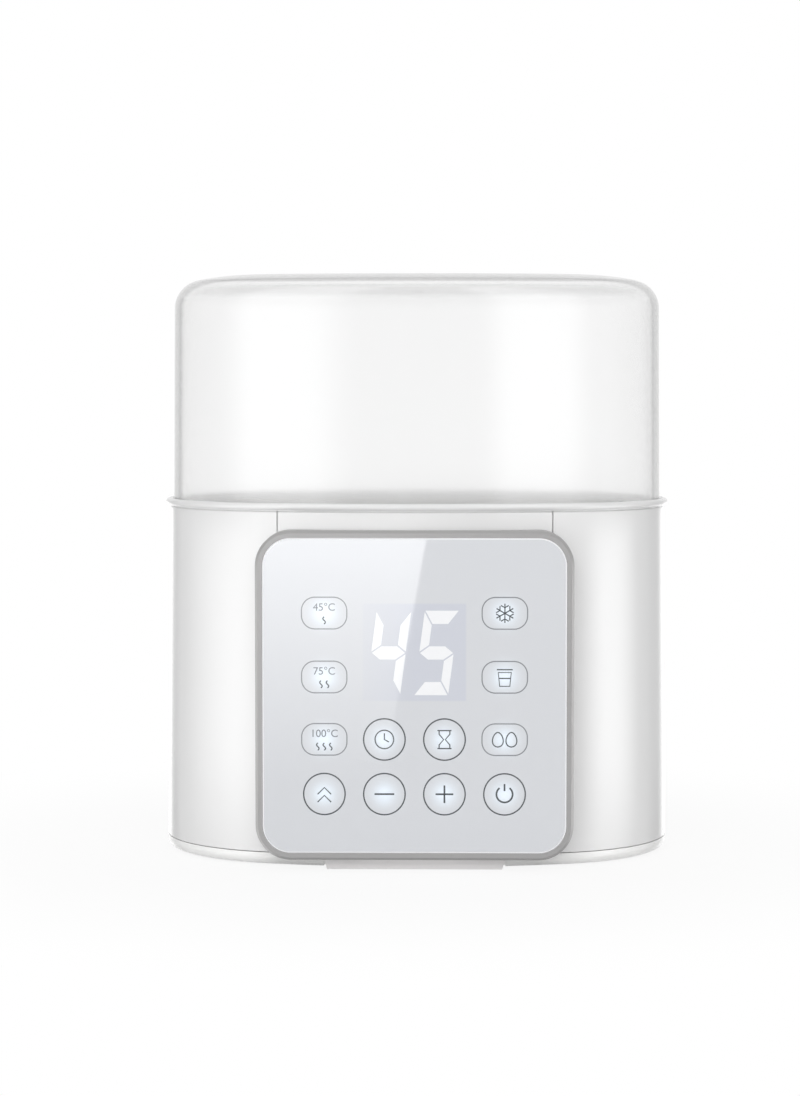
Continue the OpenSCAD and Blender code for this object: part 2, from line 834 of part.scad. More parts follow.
// Moulded relay cube with a small step round its top
module relay() {
    cap_in = 0.8;
    cap_h = 1.2;
    color("royalblue")
        translate([relay_at[0] - relay_size[0] / 2, relay_at[1] - relay_size[1] / 2, power_board_top]) {
            cube(relay_size);
            translate([cap_in, cap_in, relay_size[2]])
                cube([relay_size[0] - 2 * cap_in, relay_size[1] - 2 * cap_in, cap_h]);
        }
}

// Small switching transformer: core frame round a taped winding
module transformer() {
    winding = [11, 15, 10];
    color("khaki") translate([transformer_at[0], transformer_at[1], power_board_top]) {
        translate([-core_size[0] / 2, -core_size[1] / 2, 0]) cube(core_size);
        translate([-winding[0] / 2, -winding[1] / 2, 0]) cube(winding);
    }
}

// Electrolytic can with its crimp groove
module filter_capacitor() {
    can_d = 10;
    can_h = 14.5;
    groove_z = 2.2;
    groove_r = 0.5;
    color("slategray")
        translate([capacitor_at[0], capacitor_at[1], power_board_top])
            difference() {
                cylinder(d = can_d, h = can_h);
                translate([0, 0, groove_z]) rotate_extrude() translate([can_d / 2, 0]) circle(r = groove_r);
            }
}

module board_screws() {
    color("silver") at_board_corners() translate([0, 0, power_board_top])
        rotate([180, 0, 0]) screw(board_t + standoff_h - hole_play);
}

// Two insulated leads from the mains board up to the element's pins
module heater_leads() {
    lead_d = 2.6;
    edge_in = 4;
    board_x = power_board_x + power_board_l / 2 - edge_in;
    foot_y = -8;
    foot_half = 4;
    foot_rise = 8;
    pin_fall = 4;
    knee_sag = 1;
    steps = 6;
    color("crimson") for (side = [1, -1]) {
        pin = [element_ring_r * cos(pin_turn), side * element_ring_r * sin(pin_turn), pin_z];
        foot = [board_x, foot_y + side * foot_half, power_board_top];
        knee = (pin + foot) / 2 - [0, 0, knee_sag];
        lead(
            concat(
                bend(pin, pin - [0, 0, pin_fall], knee, steps),
                [for (p = bend(knee, foot + [0, 0, foot_rise], foot, steps)) if (p != knee) p]
            ),
            lead_d
        );
    }
}

// Flat ribbon from the foot of the control board to the front edge of the mains board
module panel_cable() {
    ribbon_w = 12;
    ribbon_t = 1;
    ribbon_in = 20;
    hold = 6;
    tail = 4;
    ribbon_x = power_board_x + power_board_l / 2 - ribbon_in;
    top_y = -panel_front + board_back;
    top_z = control_board_z - control_board_h / 2 + hold;
    low_z = power_board_top;
    edge_y = -power_board_w / 2 + hold;
    color("lightgray") translate([ribbon_x, 0, 0])
        rotate([90, 0, 90])
            linear_extrude(ribbon_w)
                polygon([
                    [top_y, top_z], [top_y + 2 * ribbon_t, top_z],
                    [top_y + 2 * ribbon_t, low_z + 2 * ribbon_t], [edge_y, low_z + ribbon_t],
                    [edge_y, low_z], [edge_y - tail, low_z], [top_y, low_z + ribbon_t]
                ]);
}

// Cord entry at the back: outer flange, neck through the wall and a rim that snaps inside
module cord_gland() {
    wall_out = half_d - lean_at(gland_z);
    wall_in = wall_out - shell_wall;
    face = half_d + gland_out;
    inner = wall_in - gland_in;
    round_off = 1.2;
    rim_t = 1.6;
    bore_r = gland_bore_d / 2;
    neck_r = gland_neck_d / 2;
    flange_r = gland_flange_d / 2;
    color("white") translate([0, 0, gland_z]) rotate([-90, 0, 0])
        rotate_extrude() polygon(concat(
            [
                [bore_r, inner], [neck_r, inner], [flange_r - round_off, wall_in - rim_t],
                [flange_r - round_off, wall_in - cover_play],
                [neck_r, wall_in - cover_play], [neck_r, wall_out + cover_play],
                [flange_r, wall_out + cover_play]
            ],
            arc([flange_r - round_off, face - round_off], round_off, 0, 90, arc_steps),
            [[bore_r, face]]
        ));
}

// The long front curve of the body as one solid cone, which the bezel's back is cut to with a little play
module front_curve() {
    deep = 30;
    top = shell_top + deep;
    r = side_r + curve_play;
    translate([0, side_y, -deep])
        cylinder(r1 = r - lean_at(-deep), r2 = r - lean_at(top), h = top + deep, $fn = 360);
}

// Grey frame box: bevelled front lip, seat for the lens, and walls that reach back to the curved body
module panel_bezel() {
    reach = panel_front - front_at(panel_w / 2, 0) + shell_lean + cut;
    color("darkgray") difference() {
        union() {
            on_panel() round_frame(panel_w, panel_h, panel_r) polygon([
                [0, -bezel_chamfer - bezel_step], [bezel_chamfer, -bezel_step], [bezel_chamfer, 0],
                [bezel_lip, 0], [bezel_lip, -lens_back], [bezel_lip + seat_w, -lens_back],
                [bezel_lip + seat_w, -lens_back - seat_t], [bezel_lip, -lens_back - seat_t],
                [bezel_lip, -reach], [0, -reach]
            ]);
            at_bezel_bosses() translate([0, lens_back - panel_front, 0]) rotate([-90, 0, 0])
                cylinder(d = bezel_boss_d, h = reach - lens_back);
        }
        front_curve();
        at_bezel_bosses() translate([0, lens_back + seat_t - panel_front, 0]) rotate([-90, 0, 0])
            cylinder(d = screw_d + hole_play, h = reach);
    }
}

// Flat glossy panel with a fine bevel, sunk a little below the bezel's front
module panel_lens() {
    bevel = 0.4;
    edge = bezel_lip + lens_play;
    w = panel_w - 2 * edge;
    h = panel_h - 2 * edge;
    r = panel_r - edge;
    color("aliceblue") on_panel() translate([0, 0, -lens_back])
        round_plate(w, h, r, lens_t) polygon([
            [0, 0], [0, lens_t - bevel], [bevel, lens_t], [plate_band(r), lens_t], [plate_band(r), 0]
        ]);
}

// Board behind the lens, with round corners
module control_board() {
    corner_r = 3;
    color("seagreen") on_panel() translate([0, control_board_z - panel_mid, -board_back])
        round_plate(control_board_w, control_board_h, corner_r, board_t)
            square([plate_band(corner_r), board_t]);
}

// Soft sensing pads between the board and the back of the lens
module touch_pads() {
    color("darkslategray") on_panel() translate([0, 0, -board_front]) at_keys()
        cylinder(d = pad_d, h = board_gap);
}

// Display block on the board, with a shallow tray for the digits
module display_module() {
    rim = 1;
    color("lightsteelblue") on_panel() translate([0, display_z - panel_mid, -board_front]) difference() {
        translate([-display_w / 2, -display_h / 2, 0])
            cube([display_w, display_h, board_gap - pocket_play]);
        translate([rim - display_w / 2, rim - display_h / 2, board_gap - pocket_play - segment_t])
            cube([display_w - 2 * rim, display_h - 2 * rim, segment_t + cut]);
    }
}

// Outlines of the seven bars of a digit, round its middle
function level_bar(sy) = [
    [segment_gap - half_digit[0], sy * half_digit[1]],
    [half_digit[0] - segment_gap, sy * half_digit[1]],
    [half_digit[0] - bar_w - segment_gap, sy * (half_digit[1] - bar_h)],
    [bar_w + segment_gap - half_digit[0], sy * (half_digit[1] - bar_h)]
];
function middle_bar() = [
    for (s = [1, -1])
        each s * [
            [half_digit[0] - segment_gap, 0],
            [half_digit[0] - bar_w - segment_gap, bar_h / 2],
            [bar_w + segment_gap - half_digit[0], bar_h / 2]
        ]
];
function upright_bar(sx, sy) = [
    [sx * half_digit[0], sy * (half_digit[1] - 2 * segment_gap)],
    [sx * (half_digit[0] - bar_w), sy * (half_digit[1] - bar_h - 2 * segment_gap)],
    [sx * (half_digit[0] - bar_w), sy * (bar_h / 2 + 2 * segment_gap)],
    [sx * half_digit[0], sy * 2 * segment_gap]
];
function slanted(points) = [for (p = points) [p[0] + p[1] * tan(digit_slant), p[1]]];

// Fourteen separate diffuser bars, seven to each digit
module digit_segments() {
    bars = concat(
        [level_bar(1), level_bar(-1), middle_bar()],
        [for (sx = [1, -1], sy = [1, -1]) upright_bar(sx, sy)]
    );
    color("white") on_panel()
        translate([0, display_z - panel_mid, -lens_back - pocket_play - segment_t])
            for (side = [1, -1], bar = bars)
                translate([side * digit_pitch / 2, 0, 0]) linear_extrude(segment_t) polygon(slanted(bar));
}

module panel_screws() {
    boss_y = panel_front - lens_back - seat_t;
    color("silver") at_bezel_bosses() translate([0, -spot_y, 0]) rotate([90, 0, 0])
        screw(boss_y - spot_y - hole_play);
}

// Countersunk screws through the tank's flange into the tops of the posts
module tank_screws() {
    color("silver") at_posts() {
        translate([0, 0, flange_top - head_h]) cylinder(d1 = screw_d, d2 = head_d, h = head_h);
        translate([0, 0, flange_bottom - post_pilot + hole_play])
            cylinder(d = screw_d, h = post_pilot - hole_play + flange_h - head_h / 2);
    }
}

// Screws up through the bottom cover's wells into the feet of the posts
module base_screws() {
    color("silver") at_posts() translate([0, 0, post_bottom - cover_wall])
        screw(cover_wall + post_pilot - hole_play);
}

// Lift-out rack: slotted floor on four feet, a low fence and two tall end handles with finger holes
module bottle_basket() {
    out_u = tank_in + tank_lean + basket_gap;
    floor_z = tank_floor + basket_rise;
    fence_top = floor_z + basket_wall + fence_h;
    handle_top = shell_top - handle_drop;
    band = rim_band + basket_wall;
    hole_side = 5;
    hole_w = handle_w - 2 * hole_side;
    hole_h = 11;
    hole_z = handle_top - hole_side - hole_h / 2;
    foot_d = 6;
    foot_out = 14;
    foot_y = 18;
    slot_l = 44;
    slot_pitch = 9;
    slots = 5;
    color("white") difference() {
        union() {
            round_oval() polygon([
                [out_u, floor_z], [out_u + band, floor_z], [out_u + band, floor_z + basket_wall],
                [out_u + basket_wall, floor_z + basket_wall], [out_u + basket_wall, fence_top],
                [out_u, fence_top]
            ]);
            oval_core(out_u + core_overlap, floor_z, basket_wall);
            intersection() {
                round_oval() translate([out_u, floor_z]) square([basket_wall, handle_top - floor_z]);
                translate([-half_w, -handle_w / 2, 0]) cube([body_w, handle_w, shell_top]);
            }
            for (sx = [1, -1], sy = [1, -1])
                translate([sx * (end_x + foot_out), sy * foot_y, tank_floor])
                    cylinder(d = foot_d, h = basket_rise);
        }
        // Finger holes with round ends through both handles
        translate([-half_w, 0, hole_z]) rotate([90, 0, 90]) {
            translate([(hole_h - hole_w) / 2, -hole_h / 2, 0]) cube([hole_w - hole_h, hole_h, body_w]);
            for (side = [1, -1])
                translate([side * (hole_w - hole_h) / 2, 0, 0]) cylinder(d = hole_h, h = body_w);
        }
        // Floor slots that let steam and water through
        for (k = [-slots:slots])
            translate([k * slot_pitch - slot_w / 2, -slot_l / 2, floor_z - cut])
                cube([slot_w, slot_l, basket_wall + 2 * cut]);
    }
}

// Clear cup: straight wall, round shoulder, gentle crown and a steam hole in the middle
module lid() {
    shoulder_u = lid_out + lid_lean + lid_corner_r;
    shoulder_z = lid_top - crown_r + (crown_r - lid_corner_r) * cos(crown_tilt);
    crown_u = shoulder_u + (crown_r - lid_corner_r) * sin(crown_tilt);
    crown_z = lid_top - crown_r;
    crown_in = crown_u + rim_band;
    crown_steps = 4;
    crown_first = 90 + crown_tilt * (1 - 1 / crown_steps);
    color("azure", 0.4) difference() {
        union() {
            round_oval() polygon(concat(
                [[lid_out, ledge_top]],
                arc([shoulder_u, shoulder_z], lid_corner_r, 180, 90 + crown_tilt, arc_steps),
                arc([crown_u, crown_z], crown_r, crown_first, 90, crown_steps - 1),
                [[crown_in, lid_top], [crown_in, lid_top - lid_wall]],
                arc([crown_u, crown_z], crown_r - lid_wall, 90, crown_first, crown_steps - 1),
                arc([shoulder_u, shoulder_z], lid_corner_r - lid_wall, 90 + crown_tilt, 180, arc_steps),
                [[lid_in, ledge_top]]
            ));
            oval_core(crown_u + core_overlap, lid_top - lid_wall, lid_wall);
        }
        translate([0, 0, lid_top - lid_wall - cut]) cylinder(d = vent_d, h = lid_wall + 2 * cut);
    }
}

bottom_cover();
front_foot();
rear_feet();
outer_shell();
front_fascia();
collar_ring();
inner_tank();
heating_plate();
plate_seal();
plate_clamp();
clamp_screws();
heating_element();
temperature_sensor();
thermal_cutout();
thermal_fuse();
power_board();
relay();
transformer();
filter_capacitor();
board_screws();
heater_leads();
panel_cable();
cord_gland();
panel_bezel();
panel_lens();
control_board();
touch_pads();
display_module();
digit_segments();
panel_screws();
tank_screws();
base_screws();
bottle_basket();
lid();
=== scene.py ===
import math

import bpy
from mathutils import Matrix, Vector


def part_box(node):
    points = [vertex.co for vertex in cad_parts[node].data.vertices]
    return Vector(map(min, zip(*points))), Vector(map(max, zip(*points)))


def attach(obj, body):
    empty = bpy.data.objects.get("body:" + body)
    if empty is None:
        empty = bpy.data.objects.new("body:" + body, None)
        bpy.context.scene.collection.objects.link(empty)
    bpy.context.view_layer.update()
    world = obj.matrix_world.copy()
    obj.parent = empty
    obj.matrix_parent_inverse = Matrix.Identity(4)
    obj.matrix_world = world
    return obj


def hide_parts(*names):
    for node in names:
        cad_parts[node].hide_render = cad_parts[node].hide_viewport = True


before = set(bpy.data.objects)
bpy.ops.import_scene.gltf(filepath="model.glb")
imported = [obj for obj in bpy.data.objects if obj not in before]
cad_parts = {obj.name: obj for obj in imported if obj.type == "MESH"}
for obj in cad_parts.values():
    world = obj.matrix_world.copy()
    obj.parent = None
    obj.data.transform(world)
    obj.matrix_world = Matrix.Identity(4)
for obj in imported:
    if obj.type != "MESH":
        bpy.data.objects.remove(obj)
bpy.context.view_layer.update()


# Bottom cover: the white base tray whose rim shows as a light band under the shell.
# Injection-moulded ABS with a fine spark-eroded grain, held by four screws from below.
mm = 0.001


def add_node(tree, kind, **settings):
    """Adds a shader node and sets its properties."""
    node = tree.nodes.new("ShaderNode" + kind)
    for setting, value in settings.items():
        setattr(node, setting, value)
    return node


def feed(tree, value, socket):
    """Links a value that varies to an input, or sets a plain one on it."""
    if isinstance(value, bpy.types.NodeSocket):
        tree.links.new(value, socket)
    else:
        socket.default_value = value


def math_node(tree, operation, *values):
    """Adds a Math node, and returns its result."""
    node = add_node(tree, "Math", operation=operation)
    for value, socket in zip(values, node.inputs):
        feed(tree, value, socket)
    return node.outputs[0]


def rising(tree, least, rise, value):
    """A value that rises from its least as another goes from 0 to 1."""
    return math_node(tree, "ADD", math_node(tree, "MULTIPLY", value, rise), least)


def swung(tree, middle, spread, noise):
    """A value that a noise swings about its middle."""
    return rising(tree, middle, spread, math_node(tree, "SUBTRACT", noise, 0.5))


def scaled(tree, colour, gain):
    """A colour multiplied by a number."""
    node = add_node(tree, "VectorMath", operation="SCALE")
    tree.links.new(colour, node.inputs[0])
    tree.links.new(gain, node.inputs["Scale"])
    return node.outputs[0]


def object_place(tree):
    """The place on the object."""
    return add_node(tree, "TexCoord").outputs["Object"]


def noise_of(tree, where, scale, detail):
    """Adds a noise texture at a place, and returns its value from 0 to 1."""
    noise = add_node(tree, "TexNoise")
    for socket, value in (("Vector", where), ("Scale", scale), ("Detail", detail)):
        feed(tree, value, noise.inputs[socket])
    return noise.outputs[0]


def new_group(name, inputs, outputs):
    """Starts a node group, and returns it with the sockets it is given and its output node."""
    tree = bpy.data.node_groups.new(name, "ShaderNodeTree")
    for way, sockets in (("INPUT", inputs), ("OUTPUT", outputs)):
        for socket, kind in sockets.items():
            tree.interface.new_socket(socket, in_out=way, socket_type="NodeSocket" + kind)
    return tree, tree.nodes.new("NodeGroupInput").outputs, tree.nodes.new("NodeGroupOutput")


def put_out(tree, made, **results):
    """Links a group's results to its output node."""
    for socket, value in results.items():
        tree.links.new(value, made.inputs[socket])


skin_results = {"Colour": "Color", "Roughness": "Float", "Height": "Float"}


def moulded_skin_group():
    """Slow colour drift, uneven polish and a fine grain, as on moulded plastic and rubber."""
    drift_scale = 22
    drift_detail = 3
    polish_scale = 60
    polish_detail = 4
    grain_detail = 2
    tree, given, made = new_group(
        "moulded_skin",
        {"Colour": "Color", "Drift": "Float", "Roughness": "Float", "Spread": "Float", "Grain": "Float"},
        skin_results
    )
    where = object_place(tree)
    gain = swung(tree, 1, given["Drift"], noise_of(tree, where, drift_scale, drift_detail))
    polish = noise_of(tree, where, polish_scale, polish_detail)
    put_out(
        tree, made,
        Colour=scaled(tree, given["Colour"], gain),
        Roughness=swung(tree, given["Roughness"], given["Spread"], polish),
        Height=noise_of(tree, where, given["Grain"], grain_detail)
    )
    return tree


moulded_skin = moulded_skin_group()


def new_material(name):
    """Starts a material, and returns it with its node tree and its shader."""
    material = bpy.data.materials.new(name)
    material.use_nodes = True
    tree = material.node_tree
    return material, tree, tree.nodes["Principled BSDF"]


def skinned(name, group, values, depth, **plain):
    """A material whose group gives its colour, roughness and grain; plain values go on the shader."""
    material, tree, shader = new_material(name)
    skin = add_node(tree, "Group", node_tree=group)
    for socket, value in values.items():
        skin.inputs[socket].default_value = value
    tree.links.new(skin.outputs["Colour"], shader.inputs["Base Color"])
    tree.links.new(skin.outputs["Roughness"], shader.inputs["Roughness"])
    bump = add_node(tree, "Bump")
    bump.inputs["Distance"].default_value = depth
    tree.links.new(skin.outputs["Height"], bump.inputs["Height"])
    tree.links.new(bump.outputs["Normal"], shader.inputs["Normal"])
    for socket, value in plain.items():
        shader.inputs[socket.replace("_", " ")].default_value = value
    return material


def linear(red, green, blue):
    """A colour given as 0 to 255 screen values, as the linear colour that a socket takes."""
    def channel(value):
        """One channel, by the screen's standard curve."""
        share = value / 255
        return share / 12.92 if share <= 0.04045 else ((share + 0.055) / 1.055) ** 2.4
    return (channel(red), channel(green), channel(blue), 1)


def moulded(name, colour, drift, roughness, spread, grain, depth, **plain):
    """A moulded plastic or rubber finish."""
    values = {"Colour": colour, "Drift": drift, "Roughness": roughness, "Spread": spread, "Grain": grain}
    return skinned(name, moulded_skin, values, depth, **plain)


def dress(material, *nodes):
    """Gives CAD nodes their finish."""
    for node in nodes:
        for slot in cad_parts[node].material_slots:
            slot.material = material


cover_white = moulded(
    "cover_white", linear(250, 250, 249),
    drift=0.015, roughness=0.3, spread=0.03, grain=1500, depth=0.002 * mm
)
dress(cover_white, "bottom_cover")


# Feet: a long grey strip under the panel and two round pads at the back.
# Soft thermoplastic rubber, pressed into shallow pockets in the cover's underside.
foot_rubber = moulded(
    "foot_rubber", linear(240, 238, 238),
    drift=0.06, roughness=0.62, spread=0.12, grain=2600, depth=0.03 * mm
)
dress(foot_rubber, "front_foot", "rear_feet")


# Outer shell and front fascia: the white oval wall and the curved insert behind the panel.
# High-gloss white ABS, moulded in polished tools, so it only shows a faint ripple.
body_gloss = moulded(
    "body_gloss", linear(235, 235, 235),
    drift=0.012, roughness=0.15, spread=0.02, grain=900, depth=0.001 * mm
)
dress(body_gloss, "outer_shell", "front_fascia")


# Cord entry at the back: a white bushing that snaps into the shell's wall.
# Moulded in slightly softer, duller plastic than the body.
gland_white = moulded(
    "gland_white", linear(226, 225, 223),
    drift=0.03, roughness=0.45, spread=0.08, grain=1800, depth=0.02 * mm
)
dress(gland_white, "cord_gland")


# Boards: the mains board on the cover's standoffs and the control board behind the lens.
# Glass-fibre laminate with green solder mask; copper tracks show through as paler lines.
def mixed(tree, share, first, second):
    """Mixes two colours: the first at a share of 0, and the second at 1."""
    node = add_node(tree, "Mix", data_type="RGBA")
    for value, socket in ((share, 0), (first, 6), (second, 7)):
        feed(tree, value, node.inputs[socket])
    return node.outputs[2]


def board_mask_group():
    """Green mask over a grid of tracks, with dots of bare copper."""
    track_pitch = 3.1 * mm
    track_shape = {"Brick Width": 4.5, "Row Height": 0.62, "Mortar Size": 0.12, "Mortar Smooth": 0.2}
    row_shift = 0.37
    shift_every = 3
    dot_scale = 190
    dot_size = 0.12
    dull_scale = 900
    dull_detail = 3
    dull_least = 0.25
    dull_rise = 0.3
    tree, given, made = new_group(
        "board_mask", {"Mask": "Color", "Track": "Color", "Copper": "Color"}, skin_results
    )
    where = object_place(tree)
    tracks = add_node(tree, "TexBrick", offset=row_shift, offset_frequency=shift_every)
    tracks.inputs["Scale"].default_value = 1 / track_pitch
    for socket, value in track_shape.items():
        tracks.inputs[socket].default_value = value
    dots = add_node(tree, "TexVoronoi")
    dots.inputs["Scale"].default_value = dot_scale
    for texture in (tracks, dots):
        tree.links.new(where, texture.inputs["Vector"])
    in_dot = math_node(tree, "LESS_THAN", dots.outputs["Distance"], dot_size)
    masked = mixed(tree, tracks.outputs["Fac"], given["Mask"], given["Track"])
    put_out(
        tree, made,
        Colour=mixed(tree, in_dot, masked, given["Copper"]),
        Roughness=rising(tree, dull_least, dull_rise, noise_of(tree, where, dull_scale, dull_detail)),
        Height=tracks.outputs["Fac"]
    )
    return tree


board_colours = {
    "Mask": linear(24, 92, 58), "Track": linear(52, 128, 84), "Copper": linear(206, 168, 92)
}
board_green = skinned("board_green", board_mask_group(), board_colours, depth=0.035 * mm)
dress(board_green, "power_board", "control_board")


# Relay: a sealed blue moulded cube soldered to the mains board.
# Hard polyester with a dull, slightly pitted skin.
relay_blue = moulded(
    "relay_blue", linear(40, 86, 168),
    drift=0.08, roughness=0.42, spread=0.1, grain=2200, depth=0.03 * mm
)
dress(relay_blue, "relay")


# Transformer: a dark ferrite core round a winding wrapped in yellow tape.
# The core is pressed and sintered, and the tape's turns show as fine edges across it.
def parts_of(tree, vector):
    """Splits a vector into its X, Y and Z."""
    node = add_node(tree, "SeparateXYZ")
    tree.links.new(vector, node.inputs[0])
    return node.outputs


def wound_yellow_material():
    """Tape that darkens across each turn, and the core's grey in the middle of the depth."""
    turns_per_metre = 420
    turn_least = 0.82
    core_half_depth = 3.6 * mm
    middle_y = sum(corner.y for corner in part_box("transformer")) / 2
    material = moulded(
        "wound_yellow", linear(222, 184, 74),
        drift=0.12, roughness=0.4, spread=0.1, grain=1600, depth=0.02 * mm
    )
    tree = material.node_tree
    colour = tree.nodes["Principled BSDF"].inputs["Base Color"]
    place = parts_of(tree, object_place(tree))
    off_middle = math_node(tree, "ABSOLUTE", math_node(tree, "SUBTRACT", place["Y"], middle_y))
    in_core = math_node(tree, "LESS_THAN", off_middle, core_half_depth)
    turn = math_node(tree, "FRACT", math_node(tree, "MULTIPLY", place["Z"], turns_per_metre))
    shade = rising(tree, turn_least, 1 - turn_least, turn)
    taped = scaled(tree, colour.links[0].from_socket, shade)
    tree.links.new(mixed(tree, in_core, taped, linear(62, 60, 58)), colour)
    return material


dress(wound_yellow_material(), "transformer")


# Screws, heater clamp, cut-out and the capacitor's can: small steel and aluminium parts.
# Plated wire and sheet with drawing marks and a slightly uneven plating.
def metal_skin_group():
    """Streaks of drawn or rolled metal: colour, polish and height follow the stretched noise."""
    streak_detail = 4
    tree, given, made = new_group(
        "metal_skin",
        {"Colour": "Color", "Drift": "Float", "Roughness": "Float", "Spread": "Float", "Stretch": "Vector"},
        skin_results
    )
    stretched = add_node(tree, "VectorMath", operation="MULTIPLY")
    tree.links.new(object_place(tree), stretched.inputs[0])
    tree.links.new(given["Stretch"], stretched.inputs[1])
    streak = noise_of(tree, stretched.outputs[0], 1, streak_detail)
    put_out(
        tree, made,
        Colour=scaled(tree, given["Colour"], swung(tree, 1, given["Drift"], streak)),
        Roughness=swung(tree, given["Roughness"], given["Spread"], streak),
        Height=streak
    )
    return tree


metal_skin = metal_skin_group()


def metal(name, colour, drift, roughness, spread, stretch, depth):
    """A bare or plated metal finish."""
    values = {"Colour": colour, "Drift": drift, "Roughness": roughness, "Spread": spread,
              "Stretch": stretch}
    return skinned(name, metal_skin, values, depth, Metallic=1)


screw_steel = metal(
    "screw_steel", linear(196, 198, 200),
    drift=0.12, roughness=0.3, spread=0.2, stretch=(900, 900, 200), depth=0.01 * mm
)
dress(screw_steel, "board_screws", "clamp_screws", "panel_screws", "tank_screws", "base_screws")
sheet_steel = metal(
    "sheet_steel", linear(186, 188, 190),
    drift=0.15, roughness=0.34, spread=0.25, stretch=(60, 1400, 1400), depth=0.01 * mm
)
dress(sheet_steel, "plate_clamp", "thermal_cutout")
can_metal = metal(
    "can_metal", linear(92, 98, 108),
    drift=0.2, roughness=0.36, spread=0.2, stretch=(500, 500, 60), depth=0.01 * mm
)
dress(can_metal, "filter_capacitor")


# Inner tank: the white oval water well that hangs by its flange from the shell's posts.
# Moulded in heat-proof polypropylene, which is a little duller and warmer than the body.
tank_white = moulded(
    "tank_white", linear(231, 231, 229),
    drift=0.04, roughness=0.4, spread=0.1, grain=900, depth=0.02 * mm
)
dress(tank_white, "inner_tank")


# Heated plate: the round floor of the well, with its seal, its element and the heat-sensing pieces.
# Cast and face-turned, so its top shows fine rings round the middle; the seal is red silicone.
def turned_plate_material():
    """Metal whose bump follows turned rings."""
    ring_shape = {"Scale": 260, "Distortion": 0.6, "Detail": 2}
    material = metal(
        "turned_plate", linear(198, 198, 196),
        drift=0.1, roughness=0.3, spread=0.16, stretch=(220, 220, 220), depth=0.01 * mm
    )
    tree = material.node_tree
    rings = add_node(tree, "TexWave", wave_type="RINGS", rings_direction="Z")
    for socket, value in ring_shape.items():
        rings.inputs[socket].default_value = value
    tree.links.new(object_place(tree), rings.inputs["Vector"])
    tree.links.new(rings.outputs["Fac"], tree.nodes["Bump"].inputs["Height"])
    return material


dress(turned_plate_material(), "heating_plate")
seal_rubber = moulded(
    "seal_rubber", linear(186, 66, 48),
    drift=0.1, roughness=0.55, spread=0.1, grain=2400, depth=0.03 * mm
)
dress(seal_rubber, "plate_seal")
element_scale = metal(
    "element_scale", linear(104, 100, 98),
    drift=0.5, roughness=0.5, spread=0.3, stretch=(420, 420, 420), depth=0.03 * mm
)
dress(element_scale, "heating_element")
sensor_brass = metal(
    "sensor_brass", linear(198, 160, 84),
    drift=0.2, roughness=0.32, spread=0.2, stretch=(500, 500, 120), depth=0.01 * mm
)
dress(sensor_brass, "temperature_sensor", "thermal_fuse")


# Internal wiring: two red leads to the element and a grey ribbon to the control board.
# Silicone and PVC insulation; the ribbon's cores show as ridges along it.
lead_red = moulded(
    "lead_red", linear(176, 40, 38),
    drift=0.1, roughness=0.5, spread=0.1, grain=2000, depth=0.03 * mm
)
dress(lead_red, "heater_leads")


def ribbon_grey_material():
    """Plastic with a round ridge over each core."""
    core_pitch = 1.27 * mm
    material = moulded(
        "ribbon_grey", linear(168, 168, 166),
        drift=0.08, roughness=0.48, spread=0.08, grain=1500, depth=0.08 * mm
    )
    tree = material.node_tree
    place = parts_of(tree, object_place(tree))
    across = math_node(tree, "MULTIPLY", place["X"], math.pi / core_pitch)
    ridge = math_node(tree, "ABSOLUTE", math_node(tree, "SINE", across))
    tree.links.new(ridge, tree.nodes["Bump"].inputs["Height"])
    return material


dress(ribbon_grey_material(), "panel_cable")


# Collar ring: the rounded bead and ledge that the lid sits in.
# Moulded apart from the shell in the same white, and dropped over its top edge.
collar_white = moulded(
    "collar_white", linear(234, 234, 234),
    drift=0.012, roughness=0.2, spread=0.02, grain=900, depth=0.001 * mm
)
dress(collar_white, "collar_ring")


# Panel bezel: the grey frame box that carries the lens in front of the curved body.
# Moulded ABS with a satin metallic paint, so a fine fleck shows in it.
bezel_satin = moulded(
    "bezel_satin", linear(165, 164, 164),
    drift=0.05, roughness=0.36, spread=0.08, grain=3200, depth=0.006 * mm,
    Metallic=0.1, Specular_IOR_Level=0.25
)
dress(bezel_satin, "panel_bezel")


# Behind the lens: foam sensing pads, the display block and its diffuser bars.
# Conductive foam, and clear and white light-guide plastic.
pad_foam = moulded(
    "pad_foam", linear(52, 54, 56),
    drift=0.2, roughness=0.8, spread=0.1, grain=1400, depth=0.12 * mm
)
dress(pad_foam, "touch_pads")
display_block = moulded(
    "display_block", linear(196, 206, 222),
    drift=0.04, roughness=0.3, spread=0.08, grain=700, depth=0.01 * mm
)
dress(display_block, "display_module")
diffuser_white = moulded(
    "diffuser_white", linear(240, 240, 240),
    drift=0.02, roughness=0.5, spread=0.08, grain=1200, depth=0.01 * mm
)
dress(diffuser_white, "digit_segments")


# Panel lens: the flat glossy front, clear acrylic printed silver on its back.
# A tinted window lies over the digits, and a small lamp glows behind each touch key. The pale line along
# the lens's bevel is a painted highlight: the bevel glows by itself.
keys_across = 4
key_pitch = 21.3 * mm
key_rows = [27.7 * mm, 47.2 * mm, 69.4 * mm, 92.1 * mm]
window_w = 36.5 * mm
window_h = 34.5 * mm
window_z = 78.2 * mm


def remapped(tree, value, given, made=(0, 1), soft=False):
    """Maps a value from one range to another, evenly or with a soft start and end."""
    node = add_node(tree, "MapRange", interpolation_type="SMOOTHSTEP" if soft else "LINEAR")
    tree.links.new(value, node.inputs["Value"])
    for socket, limit in zip(("From Min", "From Max", "To Min", "To Max"), (*given, *made)):
        node.inputs[socket].default_value = limit
    return node.outputs["Result"]


